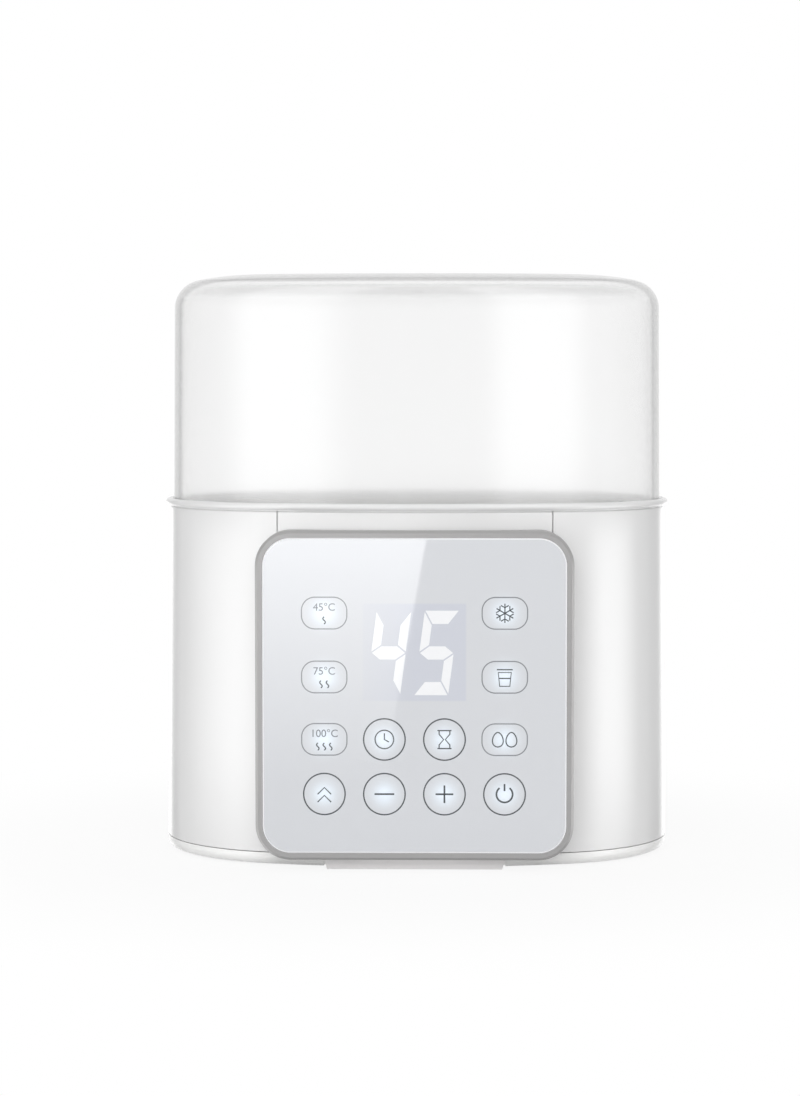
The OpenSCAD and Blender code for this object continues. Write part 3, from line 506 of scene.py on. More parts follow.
def lens_print_group():
    """The lens's back print: silver, the display's tint, paled by painted sheen towards its left, and a
    lamp's glow in every key.

    The bevel glows too, a painted highlight along the lens's edge.
    """
    glow_radius = 4.2 * mm
    glow_share = 0.75
    front_limit = -0.9
    window_edge = 0.5 * mm
    sheen_tint_share = 0.3
    fleck_scale = 2400
    fleck_detail = 2
    fleck_spread = 0.03
    polish = 0.02
    smear_scale = 40
    smear_detail = 3
    smear_rise = 0.03
    ripple_scale = 30
    ripple_detail = 1
    tree, given, made = new_group(
        "lens_print",
        {"Silver": "Color", "Window": "Color", "Glow": "Color", "Lamp": "Color"},
        {**skin_results, "Light": "Color"}
    )
    sources = add_node(tree, "TexCoord").outputs
    where = sources["Object"]
    # The bevel mask: faces that do not face straight forward, which glow as a painted highlight.
    bevel = math_node(tree, "GREATER_THAN", parts_of(tree, sources["Normal"])["Y"], front_limit)
    place = parts_of(tree, where)
    x = place["X"]
    z = place["Z"]
    column = math_node(tree, "DIVIDE", x, key_pitch)
    from_left = math_node(tree, "ADD", column, keys_across / 2)
    off_column = math_node(tree, "SUBTRACT", math_node(tree, "FRACT", from_left), 0.5)
    across = math_node(tree, "MULTIPLY", off_column, key_pitch)
    beside = math_node(tree, "ABSOLUTE", column)

    def glow_of(rows, allowed):
        """Glow round the keys of two rows, in the columns that are allowed."""
        off_rows = [math_node(tree, "ABSOLUTE", math_node(tree, "SUBTRACT", z, row)) for row in rows]
        up = math_node(tree, "MINIMUM", *off_rows)
        square = math_node(
            tree, "ADD", math_node(tree, "MULTIPLY", across, across), math_node(tree, "MULTIPLY", up, up)
        )
        fall = math_node(tree, "EXPONENT", math_node(tree, "DIVIDE", square, -glow_radius ** 2))
        return math_node(tree, "MULTIPLY", fall, allowed)

    inside = math_node(tree, "LESS_THAN", beside, keys_across / 2)
    off_middle = math_node(tree, "GREATER_THAN", beside, keys_across / 2 - 1)
    outer = math_node(tree, "MULTIPLY", inside, off_middle)
    glow = math_node(tree, "MAXIMUM", glow_of(key_rows[:2], inside), glow_of(key_rows[2:], outer))

    def within(offset, size):
        """One within half a size of the middle, with a soft edge."""
        edge = (size / 2 - window_edge, size / 2 + window_edge)
        return remapped(tree, math_node(tree, "ABSOLUTE", offset), edge, (1, 0), soft=True)

    above = math_node(tree, "SUBTRACT", z, window_z)
    in_window = math_node(tree, "MULTIPLY", within(x, window_w), within(above, window_h))
    # Painted sheen: the window's tint pales towards its left edge, where the glare falls, and is full from
    # the middle on.
    painted_sheen_fade = remapped(tree, x, (-window_w / 2, 0), (sheen_tint_share, 1))
    tint_share = math_node(tree, "MULTIPLY", in_window, painted_sheen_fade)
    fleck = swung(tree, 1, fleck_spread, noise_of(tree, where, fleck_scale, fleck_detail))
    tinted = mixed(tree, tint_share, scaled(tree, given["Silver"], fleck), given["Window"])
    # The light the lens gives: the key lamps' glow, plus the bevel's painted highlight.
    light = add_node(tree, "VectorMath", operation="ADD")
    tree.links.new(scaled(tree, given["Lamp"], glow), light.inputs[0])
    tree.links.new(bevel, light.inputs[1])
    put_out(
        tree, made,
        Colour=mixed(tree, math_node(tree, "MULTIPLY", glow, glow_share), tinted, given["Glow"]),
        Roughness=rising(tree, polish, smear_rise, noise_of(tree, where, smear_scale, smear_detail)),
        Height=noise_of(tree, where, ripple_scale, ripple_detail),
        Light=light.outputs[0]
    )
    return tree


lens_colours = {
    "Silver": linear(220, 222, 226), "Window": linear(212, 215, 224), "Glow": linear(240, 248, 255),
    "Lamp": (0.26, 0.34, 0.42, 1)
}


def lens_silver_material():
    """The printed lens, whose clear bevel glows by itself: a painted highlight that shows as a pale line.
    """
    material = skinned(
        "lens_silver", lens_print_group(), lens_colours, depth=0.002 * mm, Emission_Strength=0.42
    )
    tree = material.node_tree
    shader = tree.nodes["Principled BSDF"]
    printed = shader.inputs["Base Color"].links[0].from_node
    tree.links.new(printed.outputs["Light"], shader.inputs["Emission Color"])
    return material


dress(lens_silver_material(), "panel_lens")


# Key outlines: thin grey lines printed round the twelve touch keys.
# The six temperature and programme keys are rounded oblongs and the six others round.
lens_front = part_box("panel_lens")[0].y
film = 0.03 * mm


def edit_all():
    """Opens the active piece in edit mode with all of it selected."""
    bpy.ops.object.mode_set(mode="EDIT")
    bpy.ops.mesh.select_all(action="SELECT")


def hollowed(line):
    """Insets the selected face by a line's width and takes its middle out."""
    bpy.ops.mesh.inset(thickness=line, use_even_offset=True)
    bpy.ops.mesh.delete(type="FACE")
    bpy.ops.object.mode_set(mode="OBJECT")
    return bpy.context.active_object


def key_oblong():
    """The outline of one rounded oblong key, flat at the origin."""
    width = 16.45 * mm
    height = 11.65 * mm
    corner = 4.9 * mm
    corner_steps = 12
    line = 0.4 * mm
    bpy.ops.mesh.primitive_plane_add(size=1)
    edit_all()
    bpy.ops.transform.resize(value=(width, height, 1))
    bpy.ops.mesh.bevel(offset=corner, segments=corner_steps, affect="VERTICES")
    bpy.ops.mesh.select_all(action="SELECT")
    return hollowed(line)


def key_round():
    """The outline of one round key, flat at the origin."""
    diameter = 15.2 * mm
    sides = 72
    line = 0.48 * mm
    bpy.ops.mesh.primitive_circle_add(vertices=sides, radius=diameter / 2, fill_type="NGON")
    edit_all()
    return hollowed(line)


def take_up(*pieces):
    """Selects pieces alone, and makes the first of them active."""
    bpy.ops.object.select_all(action="DESELECT")
    for piece in pieces:
        piece.select_set(True)
    bpy.context.view_layer.objects.active = pieces[0]


def joined(pieces):
    """Joins pieces into the first of them."""
    take_up(*pieces)
    bpy.ops.object.join()
    return pieces[0]


def copied_to(master, places):
    """Copies a flat piece to each place and joins the copies into one mesh."""
    copies = []
    for x, z in places:
        copy = master.copy()
        copy.data = master.data.copy()
        copy.location = (x, z, 0)
        bpy.context.collection.objects.link(copy)
        copies.append(copy)
    bpy.data.objects.remove(master)
    return joined(copies)


def thickened(piece):
    """Gives flat work the thickness of a printed film."""
    wall = piece.modifiers.new("film", "SOLIDIFY")
    wall.thickness = film
    wall.offset = 0
    take_up(piece)
    bpy.ops.object.modifier_apply(modifier="film")
    return piece


def onto_lens(piece, name, material):
    """Stands flat work up against the lens's front and fixes it to the base."""
    piece.name = name
    piece.data.name = name
    take_up(piece)
    bpy.ops.object.transform_apply()
    piece.rotation_euler = (math.pi / 2, 0, 0)
    piece.location = (0, lens_front - film / 2, 0)
    bpy.ops.object.transform_apply()
    piece.data.materials.clear()
    piece.data.materials.append(material)
    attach(piece, "base")
    return piece


def ink(name, colour):
    """A glossy printed ink."""
    return moulded(name, colour, drift=0.1, roughness=0.06, spread=0.04, grain=3000, depth=0.001 * mm)


columns = [(step - (keys_across - 1) / 2) * key_pitch for step in range(keys_across)]
oblong_places = [(x, z) for z in key_rows[1:] for x in (columns[0], columns[3])]
round_places = [(x, key_rows[1]) for x in columns[1:3]] + [(x, key_rows[0]) for x in columns]
oblong_ink = ink("oblong_ink", linear(142, 145, 149))
oblong_lines = onto_lens(thickened(copied_to(key_oblong(), oblong_places)), "key_oblongs", oblong_ink)
round_ink = ink("round_ink", linear(84, 88, 92))
round_lines = onto_lens(thickened(copied_to(key_round(), round_places)), "key_rounds", round_ink)


# Key marks: small signs printed in dark grey, one in each key.
# Heat waves, a snow star, a jar, eggs, a clock, an hourglass, arrows, minus, plus and a power sign.
weld = 0.001 * mm


def wire(points):
    """A chain of edges through flat points in millimetres; one that ends where it starts is closed."""
    bpy.ops.mesh.primitive_plane_add(size=mm)
    edit_all()
    bpy.ops.mesh.merge(type="CENTER")
    route = [Vector((x * mm, y * mm, 0)) for x, y in points]
    bpy.ops.transform.translate(value=route[0])
    for here, there in zip(route, route[1:]):
        bpy.ops.mesh.extrude_vertices_move(TRANSFORM_OT_translate={"value": there - here})
    bpy.ops.mesh.select_all(action="SELECT")
    bpy.ops.mesh.remove_doubles(threshold=weld)
    bpy.ops.object.mode_set(mode="OBJECT")
    return bpy.context.active_object


def looped(points):
    """Points that end where they start."""
    return points + points[:1]


def level_bar(half_w, y):
    """A level line's two ends."""
    return [(-half_w, y), (half_w, y)]


def on_circle(centre, radius, degrees):
    """The point of a circle at an angle."""
    turn = math.radians(degrees)
    return (centre[0] + radius * math.cos(turn), centre[1] + radius * math.sin(turn))


def arc(centre, radius, start, end, steps):
    """Points of an arc, with its angles in degrees."""
    return [on_circle(centre, radius, start + (end - start) * step / steps) for step in range(steps + 1)]


def ink_lines(wires, line):
    """Turns wires into flat ink lines of one width."""
    joined(wires)
    bpy.ops.object.convert(target="CURVE")
    curve = bpy.context.active_object.data
    curve.bevel_depth = line / 2
    curve.bevel_resolution = 1
    curve.use_fill_caps = True
    bpy.ops.object.convert(target="MESH")
    drawn = bpy.context.active_object
    drawn.scale = (1, 1, film / line)
    bpy.ops.object.transform_apply()
    return drawn


def heat_waves(count):
    """Upright waves side by side, below a key's number."""
    spacing = 2.3
    wave_h = 2.6
    wave_low = -3.9
    swing = 0.45
    steps = 10
    shares = [step / steps for step in range(steps + 1)]
    wave = [(swing * math.sin(math.tau * share), wave_low + wave_h * share) for share in shares]
    middles = [(k - (count - 1) / 2) * spacing for k in range(count)]
    return [[(middle + x, y) for x, y in wave] for middle in middles]


def snow_star():
    """Six arms with a small fork near each end."""
    arms = 6
    first_turn = 30
    reach = 3.4
    fork_at = 2
    fork_reach = 3.1
    fork_turn = 26
    middle = (0, 0)
    lines = []
    for arm in range(arms):
        turn = first_turn + arm * 360 / arms
        root = on_circle(middle, fork_at, turn)
        tines = arc(middle, fork_reach, turn - fork_turn, turn + fork_turn, 1)
        lines.append([middle, on_circle(middle, reach, turn)])
        lines.append([tines[0], root, tines[1]])
    return lines


def jar():
    """A small jar with a flat lid and a level line."""
    mouth = level_bar(2.3, 1.7)
    foot = level_bar(1.8, -3.2)
    lid = level_bar(2.8, 2.7)
    level = level_bar(2, -0.4)
    return [looped(mouth + foot[::-1]), lid, level]


def eggs():
    """Two eggs side by side, each wider at its foot."""
    half_w = 1.9
    half_h = 2.6
    taper = 0.2
    off_middle = 2.4
    steps = 20
    turns = [math.tau * step / steps for step in range(steps)]
    egg = [(half_w * math.sin(a) * (1 - taper * math.cos(a)), half_h * math.cos(a)) for a in turns]
    return [looped([(x + side * off_middle, y) for x, y in egg]) for side in (-1, 1)]


def clock():
    """A clock face with two hands."""
    face_r = 3.3
    steps = 30
    hands = [(0, 2.2), (0, 0), (1.6, -0.9)]
    return [looped(arc((0, 0), face_r, 0, 360, steps)[:-1]), hands]


def hourglass():
    """An hourglass between two plates."""
    half_w = 1.9
    half_h = 3.2
    shoulder = 1.9
    neck = 0.3
    plate_half_w = 2.5
    glass = [(half_w, half_h), (half_w, shoulder), (neck, 0), (half_w, -shoulder), (half_w, -half_h)]
    plates = [level_bar(plate_half_w, y) for y in (half_h, -half_h)]
    return [glass, [(-x, y) for x, y in glass], *plates]


def quick_arrows():
    """Two chevrons that point up."""
    half_w = 2.4
    feet = (-2.9, -0.1)
    return [[(-half_w, foot), (0, foot + half_w), (half_w, foot)] for foot in feet]


def plus_sign():
    """Two crossed bars."""
    reach = 3.15
    return [level_bar(reach, 0), [(0, -reach), (0, reach)]]


def power_sign():
    """A ring open at its top, with a short upright bar."""
    ring_r = 2.87
    half_opening = 38
    steps = 36
    upright = [(0, 1.2), (0, 3.7)]
    return [arc((0, 0), ring_r, 90 + half_opening, 450 - half_opening, steps), upright]


minus_sign = [level_bar(3.5, 0)]
fine_marks = [
    (columns[0], key_rows[3], heat_waves(1)), (columns[0], key_rows[2], heat_waves(2)),
    (columns[0], key_rows[1], heat_waves(3)), (columns[3], key_rows[3], snow_star()),
    (columns[3], key_rows[2], jar()), (columns[3], key_rows[1], eggs()),
    (columns[1], key_rows[1], clock()), (columns[2], key_rows[1], hourglass()),
    (columns[0], key_rows[0], quick_arrows()),
]
bold_marks = [
    (columns[1], key_rows[0], minus_sign), (columns[2], key_rows[0], plus_sign()),
    (columns[3], key_rows[0], power_sign()),
]


def marks(placed, line):
    """Draws each key's lines at its place and inks them at one width."""
    wires = []
    for x, z, lines in placed:
        for points in lines:
            wires.append(wire([(px + x / mm, pz + z / mm) for px, pz in points]))
    return ink_lines(wires, line)


mark_ink = ink("mark_ink", linear(82, 88, 92))
fine = onto_lens(marks(fine_marks, line=0.42 * mm), "key_marks_fine", mark_ink)
bold = onto_lens(marks(bold_marks, line=0.62 * mm), "key_marks_bold", mark_ink)


# Key numbers: the three temperatures on the left-hand keys, in degrees.
# Printed in a paler grey than the marks below them.
def number(words, x, z):
    """A printed number, flat, with its middle at a place on the panel."""
    height = 3.8 * mm
    lift = 0.85 * mm
    bpy.ops.object.text_add(location=(x, z + lift, 0))
    written = bpy.context.active_object.data
    written.body = words
    written.size = height
    written.align_x = "CENTER"
    written.extrude = film / 2
    bpy.ops.object.convert(target="MESH")
    return bpy.context.active_object


temperatures = ["100°C", "75°C", "45°C"]
numbers = joined([number(words, columns[0], row) for words, row in zip(temperatures, key_rows[1:])])
numbers = onto_lens(numbers, "key_numbers", ink("number_ink", linear(128, 133, 140)))


# Lit digits: the bars of the display that are on, seen through the lens as white shapes.
# Each bar is a thin mitred strip over its diffuser, leaning with the digit.
def lit_digits_piece():
    """The two digits' bars as one flat film."""
    digit_w = 12.2
    digit_h = 30
    bar_w = 3.1
    bar_h = 4.7
    gap = 0.25
    slant = math.tan(math.radians(7.5))
    pitch = 17
    left_by = 0.7
    down_by = 0.2
    half_w = digit_w / 2
    half_h = digit_h / 2
    tip = half_w - gap
    flat = half_w - bar_w - gap

    def level(side):
        """The top or bottom bar."""
        outer = level_bar(tip, side * half_h)
        inner = level_bar(flat, side * (half_h - bar_h))
        return outer + inner[::-1]

    def upright(across, up):
        """One of the four upright bars."""
        return [(across * half_w, up * (half_h - 2 * gap)),
                (across * (half_w - bar_w), up * (half_h - bar_h - 2 * gap)),
                (across * (half_w - bar_w), up * (bar_h / 2 + 2 * gap)),
                (across * half_w, up * 2 * gap)]

    middle = [(tip, 0), *level_bar(flat, bar_h / 2)[::-1], (-tip, 0), *level_bar(flat, -bar_h / 2)]
    four = [upright(-1, 1), middle, upright(1, 1), upright(1, -1)]
    five = [level(1), upright(-1, 1), middle, upright(1, -1), level(-1)]
    bars = []
    for side, digit in ((-1, four), (1, five)):
        for bar in digit:
            outline = [(x + z * slant + side * pitch / 2 - left_by, z + window_z / mm - down_by)
                       for x, z in bar]
            bars.append(wire(looped(outline)))
            edit_all()
            bpy.ops.mesh.edge_face_add()
            bpy.ops.object.mode_set(mode="OBJECT")
    return thickened(joined(bars))


lit_white = moulded(
    "lit_white", linear(238, 239, 241),
    drift=0.02, roughness=0.06, spread=0.02, grain=2000, depth=0.001 * mm,
    Emission_Color=linear(255, 255, 255), Emission_Strength=0.1
)
lit_digits = onto_lens(lit_digits_piece(), "lit_digits", lit_white)


# Bottle basket: the white rack that lifts out with the bottles.
# Moulded in heat-proof polypropylene with a fine matt grain.
basket_white = moulded(
    "basket_white", linear(232, 231, 228),
    drift=0.03, roughness=0.46, spread=0.08, grain=1300, depth=0.02 * mm
)
dress(basket_white, "bottle_basket")


# Lid: the clear cup that rests in the collar and lifts off.
# Injection-moulded clear copolymer, faintly milky. Where the eye looks along the wall it is grey by painted
# shade in its tint.
# Its section runs round the same kind of oval as the body, with a small steam hole in the flat top.
short_leg = 7
long_leg = 24
slant_leg = 25


def oval_of(node):
    """One step of a node's oval and the radius of its end arcs.

    The line between two neighbouring arcs' centres is the slant of a 7, 24, 25 triangle of such steps.
    """
    low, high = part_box(node)
    half_w = (high.x - low.x) / 2
    half_d = (high.y - low.y) / 2
    step = (half_w - half_d) / (short_leg + long_leg - slant_leg)
    return step, half_w - short_leg * step


def filled_at(piece, level):
    """Closes the flat ring between the two open edges that lie at one height."""
    reach = 0.005 * mm
    bpy.ops.mesh.select_all(action="DESELECT")
    bpy.ops.object.mode_set(mode="OBJECT")
    for vertex in piece.data.vertices:
        vertex.select = abs(vertex.co.z - level) < reach
    bpy.ops.object.mode_set(mode="EDIT")
    bpy.ops.mesh.fill()


def lid_piece():
    """The lid as one closed skin: its section turned round the oval's four arcs."""
    wall = 2.4 * mm
    lean = 0.5 * mm
    shoulder_r = 10.5 * mm
    shoulder_steps = 14
    crown_r = 90 * mm
    crown_tilt = 12
    crown_steps = 8
    end_steps = 64
    side_steps = 24
    vent_d = 5 * mm
    vent_sides = 48
    smooth_below = 30
    level_limit = 0.99999
    low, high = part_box("lid")
    step, end_r = oval_of("lid")
    end_centre = Vector((short_leg * step, 0, 0))
    side_centre = Vector((0, -long_leg * step, 0))
    side_turn = 2 * math.atan2(short_leg, long_leg)
    end_turn = math.pi - side_turn
    tilt = math.radians(crown_tilt)
    shoulder_u = lean + shoulder_r
    crown_z = high.z - crown_r
    shoulder_at = (shoulder_u, crown_z + (crown_r - shoulder_r) * math.cos(tilt))
    crown_at = (shoulder_u + (crown_r - shoulder_r) * math.sin(tilt), crown_z)

    def skin(inset):
        """The section's outer or inner line, from the foot to the edge of the flat top."""
        shoulder = arc(shoulder_at, shoulder_r - inset, 180, 90 + crown_tilt, shoulder_steps)
        crown = arc(crown_at, crown_r - inset, 90 + crown_tilt, 90, crown_steps)
        return [(inset, low.z)] + shoulder + crown[1:]

    section = skin(wall)[::-1] + skin(0)
    piece = wire([((end_r - inset) / mm, z / mm) for inset, z in section])
    piece.rotation_euler = (math.pi / 2, 0, -end_turn / 2)
    piece.location = end_centre
    bpy.ops.object.transform_apply()
    edit_all()
    half_round = ((end_centre, end_turn, end_steps), (side_centre, side_turn, side_steps))
    for half in (1, -1):
        for centre, turn, steps in half_round:
            bpy.ops.mesh.spin(steps=steps, angle=-turn, center=half * centre, axis=(0, 0, 1))
    bpy.ops.mesh.primitive_circle_add(vertices=vent_sides, radius=vent_d / 2, location=(0, 0, high.z))
    bpy.ops.mesh.extrude_edges_move(TRANSFORM_OT_translate={"value": (0, 0, -wall)})
    bpy.ops.mesh.select_all(action="SELECT")
    bpy.ops.mesh.remove_doubles(threshold=weld)
    for level in (high.z, high.z - wall):
        filled_at(piece, level)
    bpy.ops.mesh.select_all(action="SELECT")
    bpy.ops.mesh.normals_make_consistent(inside=False)
    bpy.ops.object.mode_set(mode="OBJECT")
    bpy.ops.object.shade_smooth_by_angle(angle=math.radians(smooth_below))
    for face in piece.data.polygons:
        face.use_smooth = abs(face.normal.z) < level_limit
    piece.name = "clear_lid"
    piece.data.name = "clear_lid"
    return piece


def blended(tree, share, first, second):
    """Mixes two shaders: the first at a share of 0, and the second at 1."""
    node = add_node(tree, "MixShader")
    for value, socket in zip((share, first, second), node.inputs):
        tree.links.new(value, socket)
    return node.outputs[0]


def lid_clear_material():
    """Clear plastic, with painted shade that greys it where the eye looks along the wall.

    Most light goes straight through it to the pieces inside.
    A ray caught in the wall is let out, dimmed by painted shade that darkens the wall's edges and top line.
    """
    polish = 0.1
    smear_scale = 35
    smear_detail = 4
    smear_rise = 0.04
    painted_edge_shade = ((0, 0.972), (0.2, 0.972), (0.64, 0.86), (0.7, 0.47))
    clear_share = 0.85
    caught_after = 5.5
    material, tree, shader = new_material("lid_clear")
    smear = noise_of(tree, object_place(tree), smear_scale, smear_detail)
    tree.links.new(rising(tree, polish, smear_rise, smear), shader.inputs["Roughness"])
    facing = add_node(tree, "LayerWeight").outputs["Facing"]
    path = add_node(tree, "LightPath").outputs
    # Painted shade: a grey tint by how squarely the wall faces the eye, darkest where it is seen edge on.
    painted_edge_ramp = add_node(tree, "ValToRGB")
    stops = painted_edge_ramp.color_ramp.elements
    stops.remove(stops[1])
    for stop, (position, tone) in enumerate(painted_edge_shade):
        element = stops.new(position) if stop else stops[0]
        element.position = position
        element.color = (tone, tone, tone, 1)
    tree.links.new(math_node(tree, "MULTIPLY", facing, path["Is Camera Ray"]), painted_edge_ramp.inputs[0])
    tree.links.new(painted_edge_ramp.outputs["Color"], shader.inputs["Base Color"])
    shader.inputs["IOR"].default_value = 1.49
    shader.inputs["Transmission Weight"].default_value = 1
    body = add_node(tree, "VolumeAbsorption")
    body.inputs["Color"].default_value = (0.9, 0.9, 0.9, 1)
    body.inputs["Density"].default_value = 30
    clear = add_node(tree, "BsdfTransparent")
    in_shadow = math_node(tree, "MULTIPLY", path["Is Shadow Ray"], clear_share)
    thin = blended(tree, in_shadow, shader.outputs[0], clear.outputs[0])
    # Painted shade: a ray caught in the wall leaves it dimmed, which darkens the edges and the top line.
    painted_dimming = add_node(tree, "BsdfTransparent")
    painted_dimming.inputs["Color"].default_value = (0.66, 0.66, 0.66, 1)
    caught = math_node(tree, "GREATER_THAN", path["Ray Depth"], caught_after)
    output = tree.nodes["Material Output"]
    tree.links.new(blended(tree, caught, thin, painted_dimming.outputs[0]), output.inputs["Surface"])
    tree.links.new(body.outputs["Volume"], output.inputs["Volume"])
    return material


clear_lid = lid_piece()
clear_lid.data.materials.append(lid_clear_material())
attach(clear_lid, "lid")
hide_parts("lid")


# Floor and backdrop: a plain white floor that keeps the soft shadow under the body, under a white sky.
# Seen directly, in gloss or through the lid it is white; to other rays it is pale grey.
def seen_directly(tree):
    """One for camera, glossy and transmission rays, and zero for the rest."""
    path = add_node(tree, "LightPath").outputs
    gloss = math_node(tree, "ADD", path["Is Camera Ray"], path["Is Glossy Ray"])
    return math_node(tree, "MINIMUM", math_node(tree, "ADD", gloss, path["Is Transmission Ray"]), 1)


def floor_material():
    """Matt white paint, which shows a share of its shadow near the body and none far from it."""
    shadow_near = 90 * mm
    shadow_far = 260 * mm
    shadow_share = 0.11
    material, tree, paint = new_material("floor_white")
    paint.inputs["Base Color"].default_value = (0.84, 0.84, 0.84, 1)
    paint.inputs["Roughness"].default_value = 0.9
    paint.inputs["Specular IOR Level"].default_value = 0
    white = add_node(tree, "Emission")
    distance = add_node(tree, "VectorMath", operation="LENGTH")
    tree.links.new(object_place(tree), distance.inputs[0])
    reach = (shadow_near, shadow_far)
    fade = remapped(tree, distance.outputs["Value"], reach, (1 - shadow_share, 1), soft=True)
    white_share = math_node(tree, "MULTIPLY", fade, seen_directly(tree))
    shown = blended(tree, white_share, paint.outputs[0], white.outputs[0])
    tree.links.new(shown, tree.nodes["Material Output"].inputs["Surface"])
    return material


floor_size = 12
bpy.ops.mesh.primitive_plane_add(size=floor_size)
floor = bpy.context.active_object
floor.name = "floor"
floor.data.materials.append(floor_material())

ambient = 0.6
world = bpy.data.worlds.new("studio")
bpy.context.scene.world = world
world.use_nodes = True
sky = world.node_tree
backdrop = sky.nodes["Background"]
sky.links.new(rising(sky, ambient, 1 - ambient, seen_directly(sky)), backdrop.inputs["Strength"])
backdrop.inputs["Color"].default_value = (1, 1, 1, 1)


# Lamps: a large soft box above the camera, a weaker one behind, and a low strip that fills the undersides.
# None shows in gloss, where the reflectors take their place.
def turned_to(place, target):
    """The rotation of a lamp or camera that looks from a place to a target."""
    return (Vector(target) - Vector(place)).to_track_quat("-Z", "Y").to_euler()


def soft_box(name, place, width, height, watts):
    """A rectangular lamp that faces the middle of the object."""
    middle = (0, 0, 110 * mm)
    bpy.ops.object.light_add(type="AREA", location=place, rotation=turned_to(place, middle))
    lamp = bpy.context.active_object
    lamp.name = name
    lamp.data.shape = "RECTANGLE"
    lamp.data.size = width
    lamp.data.size_y = height
    lamp.data.energy = watts
    lamp.visible_glossy = False
    lamp.visible_transmission = False


soft_box("front_box", place=(-0.1, -1.3, 1.0), width=1.4, height=0.8, watts=7)
soft_box("rear_box", place=(0.1, 1.3, 1.0), width=1.4, height=0.8, watts=4.5)
soft_box("low_strip", place=(0, -1.2, 0.08), width=1.4, height=0.14, watts=1.5)


# Reflectors: cards round the front that show only in gloss.
# Two tall ones stand in the lid's curve, five low ones along the body, and a dark one at each side.
def body_foot(turn, clear):
    """The point outside the base's outline that faces an angle, in radians from the front."""
    step, end_r = oval_of("bottom_cover")
    end_r += clear
    if abs(turn) < math.atan2(short_leg, long_leg):
        side_r = end_r + slant_leg * step
        return side_r * math.sin(turn), long_leg * step - side_r * math.cos(turn)
    return math.copysign(short_leg * step, turn) + end_r * math.sin(turn), -end_r * math.cos(turn)


def card_tree(card):
    """Gives a card a material without a shader, and returns its node tree."""
    material, tree, shader = new_material(card.name)
    tree.nodes.remove(shader)
    card.data.materials.append(material)
    return tree


def light_in_gloss(card, tree, level):
    """Lights a card by a level above white, and hides it from all but glossy rays."""
    light = add_node(tree, "Emission")
    tree.links.new(math_node(tree, "ADD", level, 1), light.inputs["Strength"])
    tree.links.new(light.outputs[0], tree.nodes["Material Output"].inputs["Surface"])
    card.visible_camera = False
    card.visible_diffuse = False
    card.visible_transmission = False
    card.visible_shadow = False


def reflector(name, azimuths, heights, strength, foot=1, clear=0):
    """A curved card round the front; it is brightest between its two middle azimuths, in degrees.

    One that stands on the floor also lies along it, up to a clear distance from the foot of the body,
    and its strength there ends at a share of what it is on the upright part.
    """
    distance = 400 * mm
    above_floor = 0.2 * mm
    foot_turn = 0.475
    steps = 24
    start, bright_from, bright_to, end = azimuths
    on_floor = heights[0] == 0
    rows = 2 if on_floor else 1
    bpy.ops.mesh.primitive_grid_add(x_subdivisions=steps, y_subdivisions=rows, size=1)
    card = bpy.context.active_object
    card.name = name
    for vertex in card.data.vertices:
        turn = math.radians(start + (end - start) * (vertex.co.x + 0.5))
        row = round((vertex.co.y + 0.5) * rows)
        if row == 0 and on_floor:
            vertex.co = (*body_foot(turn * foot_turn, clear), above_floor)
        else:
            height = heights[1] if row == rows else max(heights[0], above_floor)
            vertex.co = (distance * math.sin(turn), -distance * math.cos(turn), height)
    tree = card_tree(card)
    place = parts_of(tree, add_node(tree, "TexCoord").outputs["UV"])
    level = strength
    for edge, bright in ((start, bright_from), (end, bright_to)):
        shares = [(azimuth - start) / (end - start) for azimuth in (edge, bright)]
        level = math_node(tree, "MULTIPLY", remapped(tree, place["X"], shares, soft=True), level)
    if on_floor:
        level = math_node(tree, "MULTIPLY", remapped(tree, place["Y"], (0, 0.5), (foot, 1)), level)
    light_in_gloss(card, tree, level)


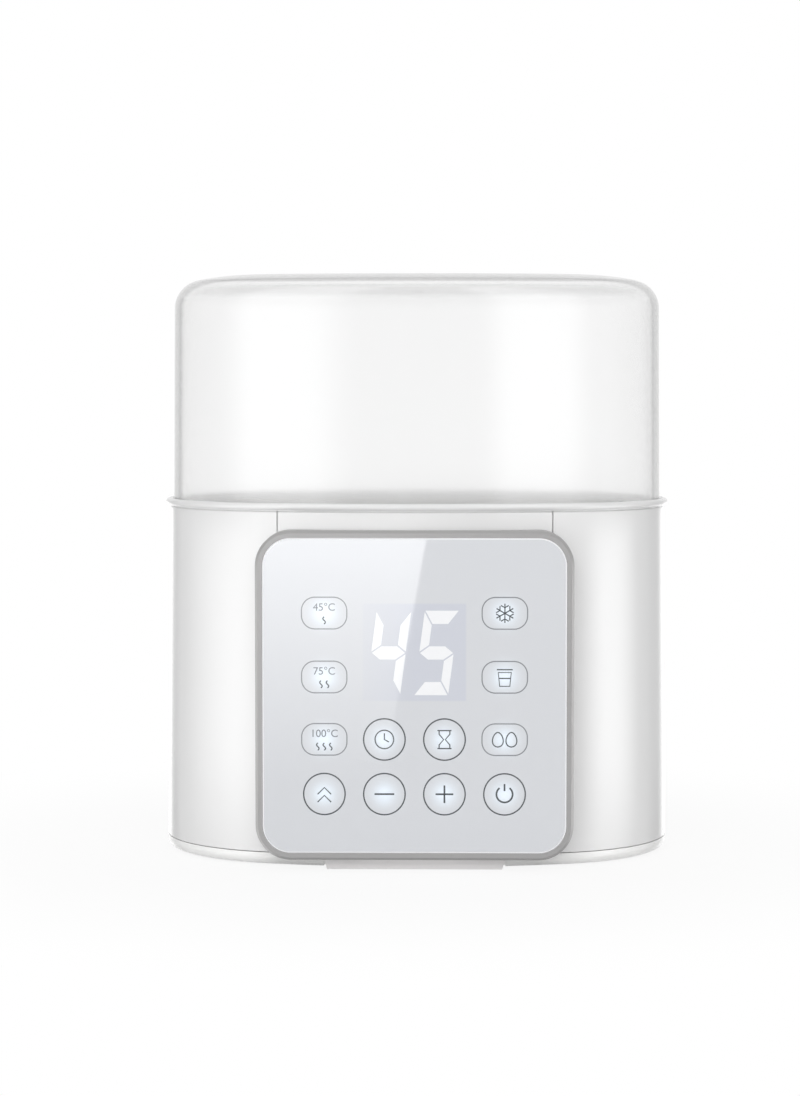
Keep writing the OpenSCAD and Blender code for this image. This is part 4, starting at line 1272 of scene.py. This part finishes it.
lid_heights = (113 * mm, 1500 * mm)
strip_heights = (98.5 * mm, 112 * mm)
low_heights = (0, strip_heights[0])
body_heights = (0, strip_heights[1])
dark_heights = (0, 280 * mm)
reflector("lid_card_left", (-74, -44, -28, -14), lid_heights, strength=2.2)
reflector("lid_card_right", (15, 24, 30, 62), lid_heights, strength=2.2)
reflector("body_card_left", (-116, -48, -36, -28), low_heights, strength=5.2, foot=0.4, clear=5 * mm)
reflector("strip_card", (-116, -40, -30, 14), strip_heights, strength=5.6)
reflector("body_card_right", (42, 66, 72, 102), body_heights, strength=4.6, foot=0.45, clear=5 * mm)
reflector("dark_card_left", (-137, -130, -126, -116), dark_heights, strength=-0.35, foot=1.8)
reflector("dark_card_right", (104, 118, 128, 136), dark_heights, strength=-0.35, foot=1.8)
reflector("rim_card_left", (-170, -152, -141, -137), body_heights, strength=0.7)
reflector("rim_card_right", (136, 140, 152, 170), body_heights, strength=0.7)


# Glare card: a white card before the panel that shows as the slanted sheen on the lens.
# It lights nothing else, and fades out towards its foot.
def glare_card():
    """Stands the card before the panel, with its right edge leaning as the sheen does."""
    ahead = 200 * mm
    card_left = -66.5 * mm
    top = 107 * mm
    foot = 0
    edge_high = (2.3 * mm, 105.9 * mm)
    edge_low = (-10.1 * mm, 36.6 * mm)
    strength = 5.8
    fall = 1.2
    lean = (edge_high[0] - edge_low[0]) / (edge_high[1] - edge_low[1])

    def edge_at(z):
        """The right edge's place at a height."""
        return edge_low[0] + (z - edge_low[1]) * lean

    bpy.ops.mesh.primitive_plane_add(size=1)
    card = bpy.context.active_object
    card.name = "glare_card"
    corners = [(card_left, foot), (edge_at(foot), foot), (card_left, top), (edge_at(top), top)]
    for vertex, (x, z) in zip(card.data.vertices, corners):
        vertex.co = (x, lens_front - ahead, z)
    tree = card_tree(card)
    height = parts_of(tree, object_place(tree))["Z"]
    rise = math_node(tree, "POWER", remapped(tree, height, (foot, top)), fall)
    light_in_gloss(card, tree, math_node(tree, "MULTIPLY", rise, strength))


glare_card()


# Camera: level with the lid, a little right of the middle, looking slightly down.
# The frame is taken as 800 by 1096, so the sensor's long side is upright.
camera_place = Vector((0.0134, -1.1, 0.1775))
camera_target = Vector((-0.0062, 0, 0.1115))
frame_height = 0.4097
sensor = 36
bpy.ops.object.camera_add(location=camera_place, rotation=turned_to(camera_place, camera_target))
camera = bpy.context.active_object
camera.data.sensor_width = sensor
camera.data.lens = sensor * (camera_target - camera_place).length / frame_height
bpy.context.scene.camera = camera
bpy.context.scene.view_settings.view_transform = "Standard"
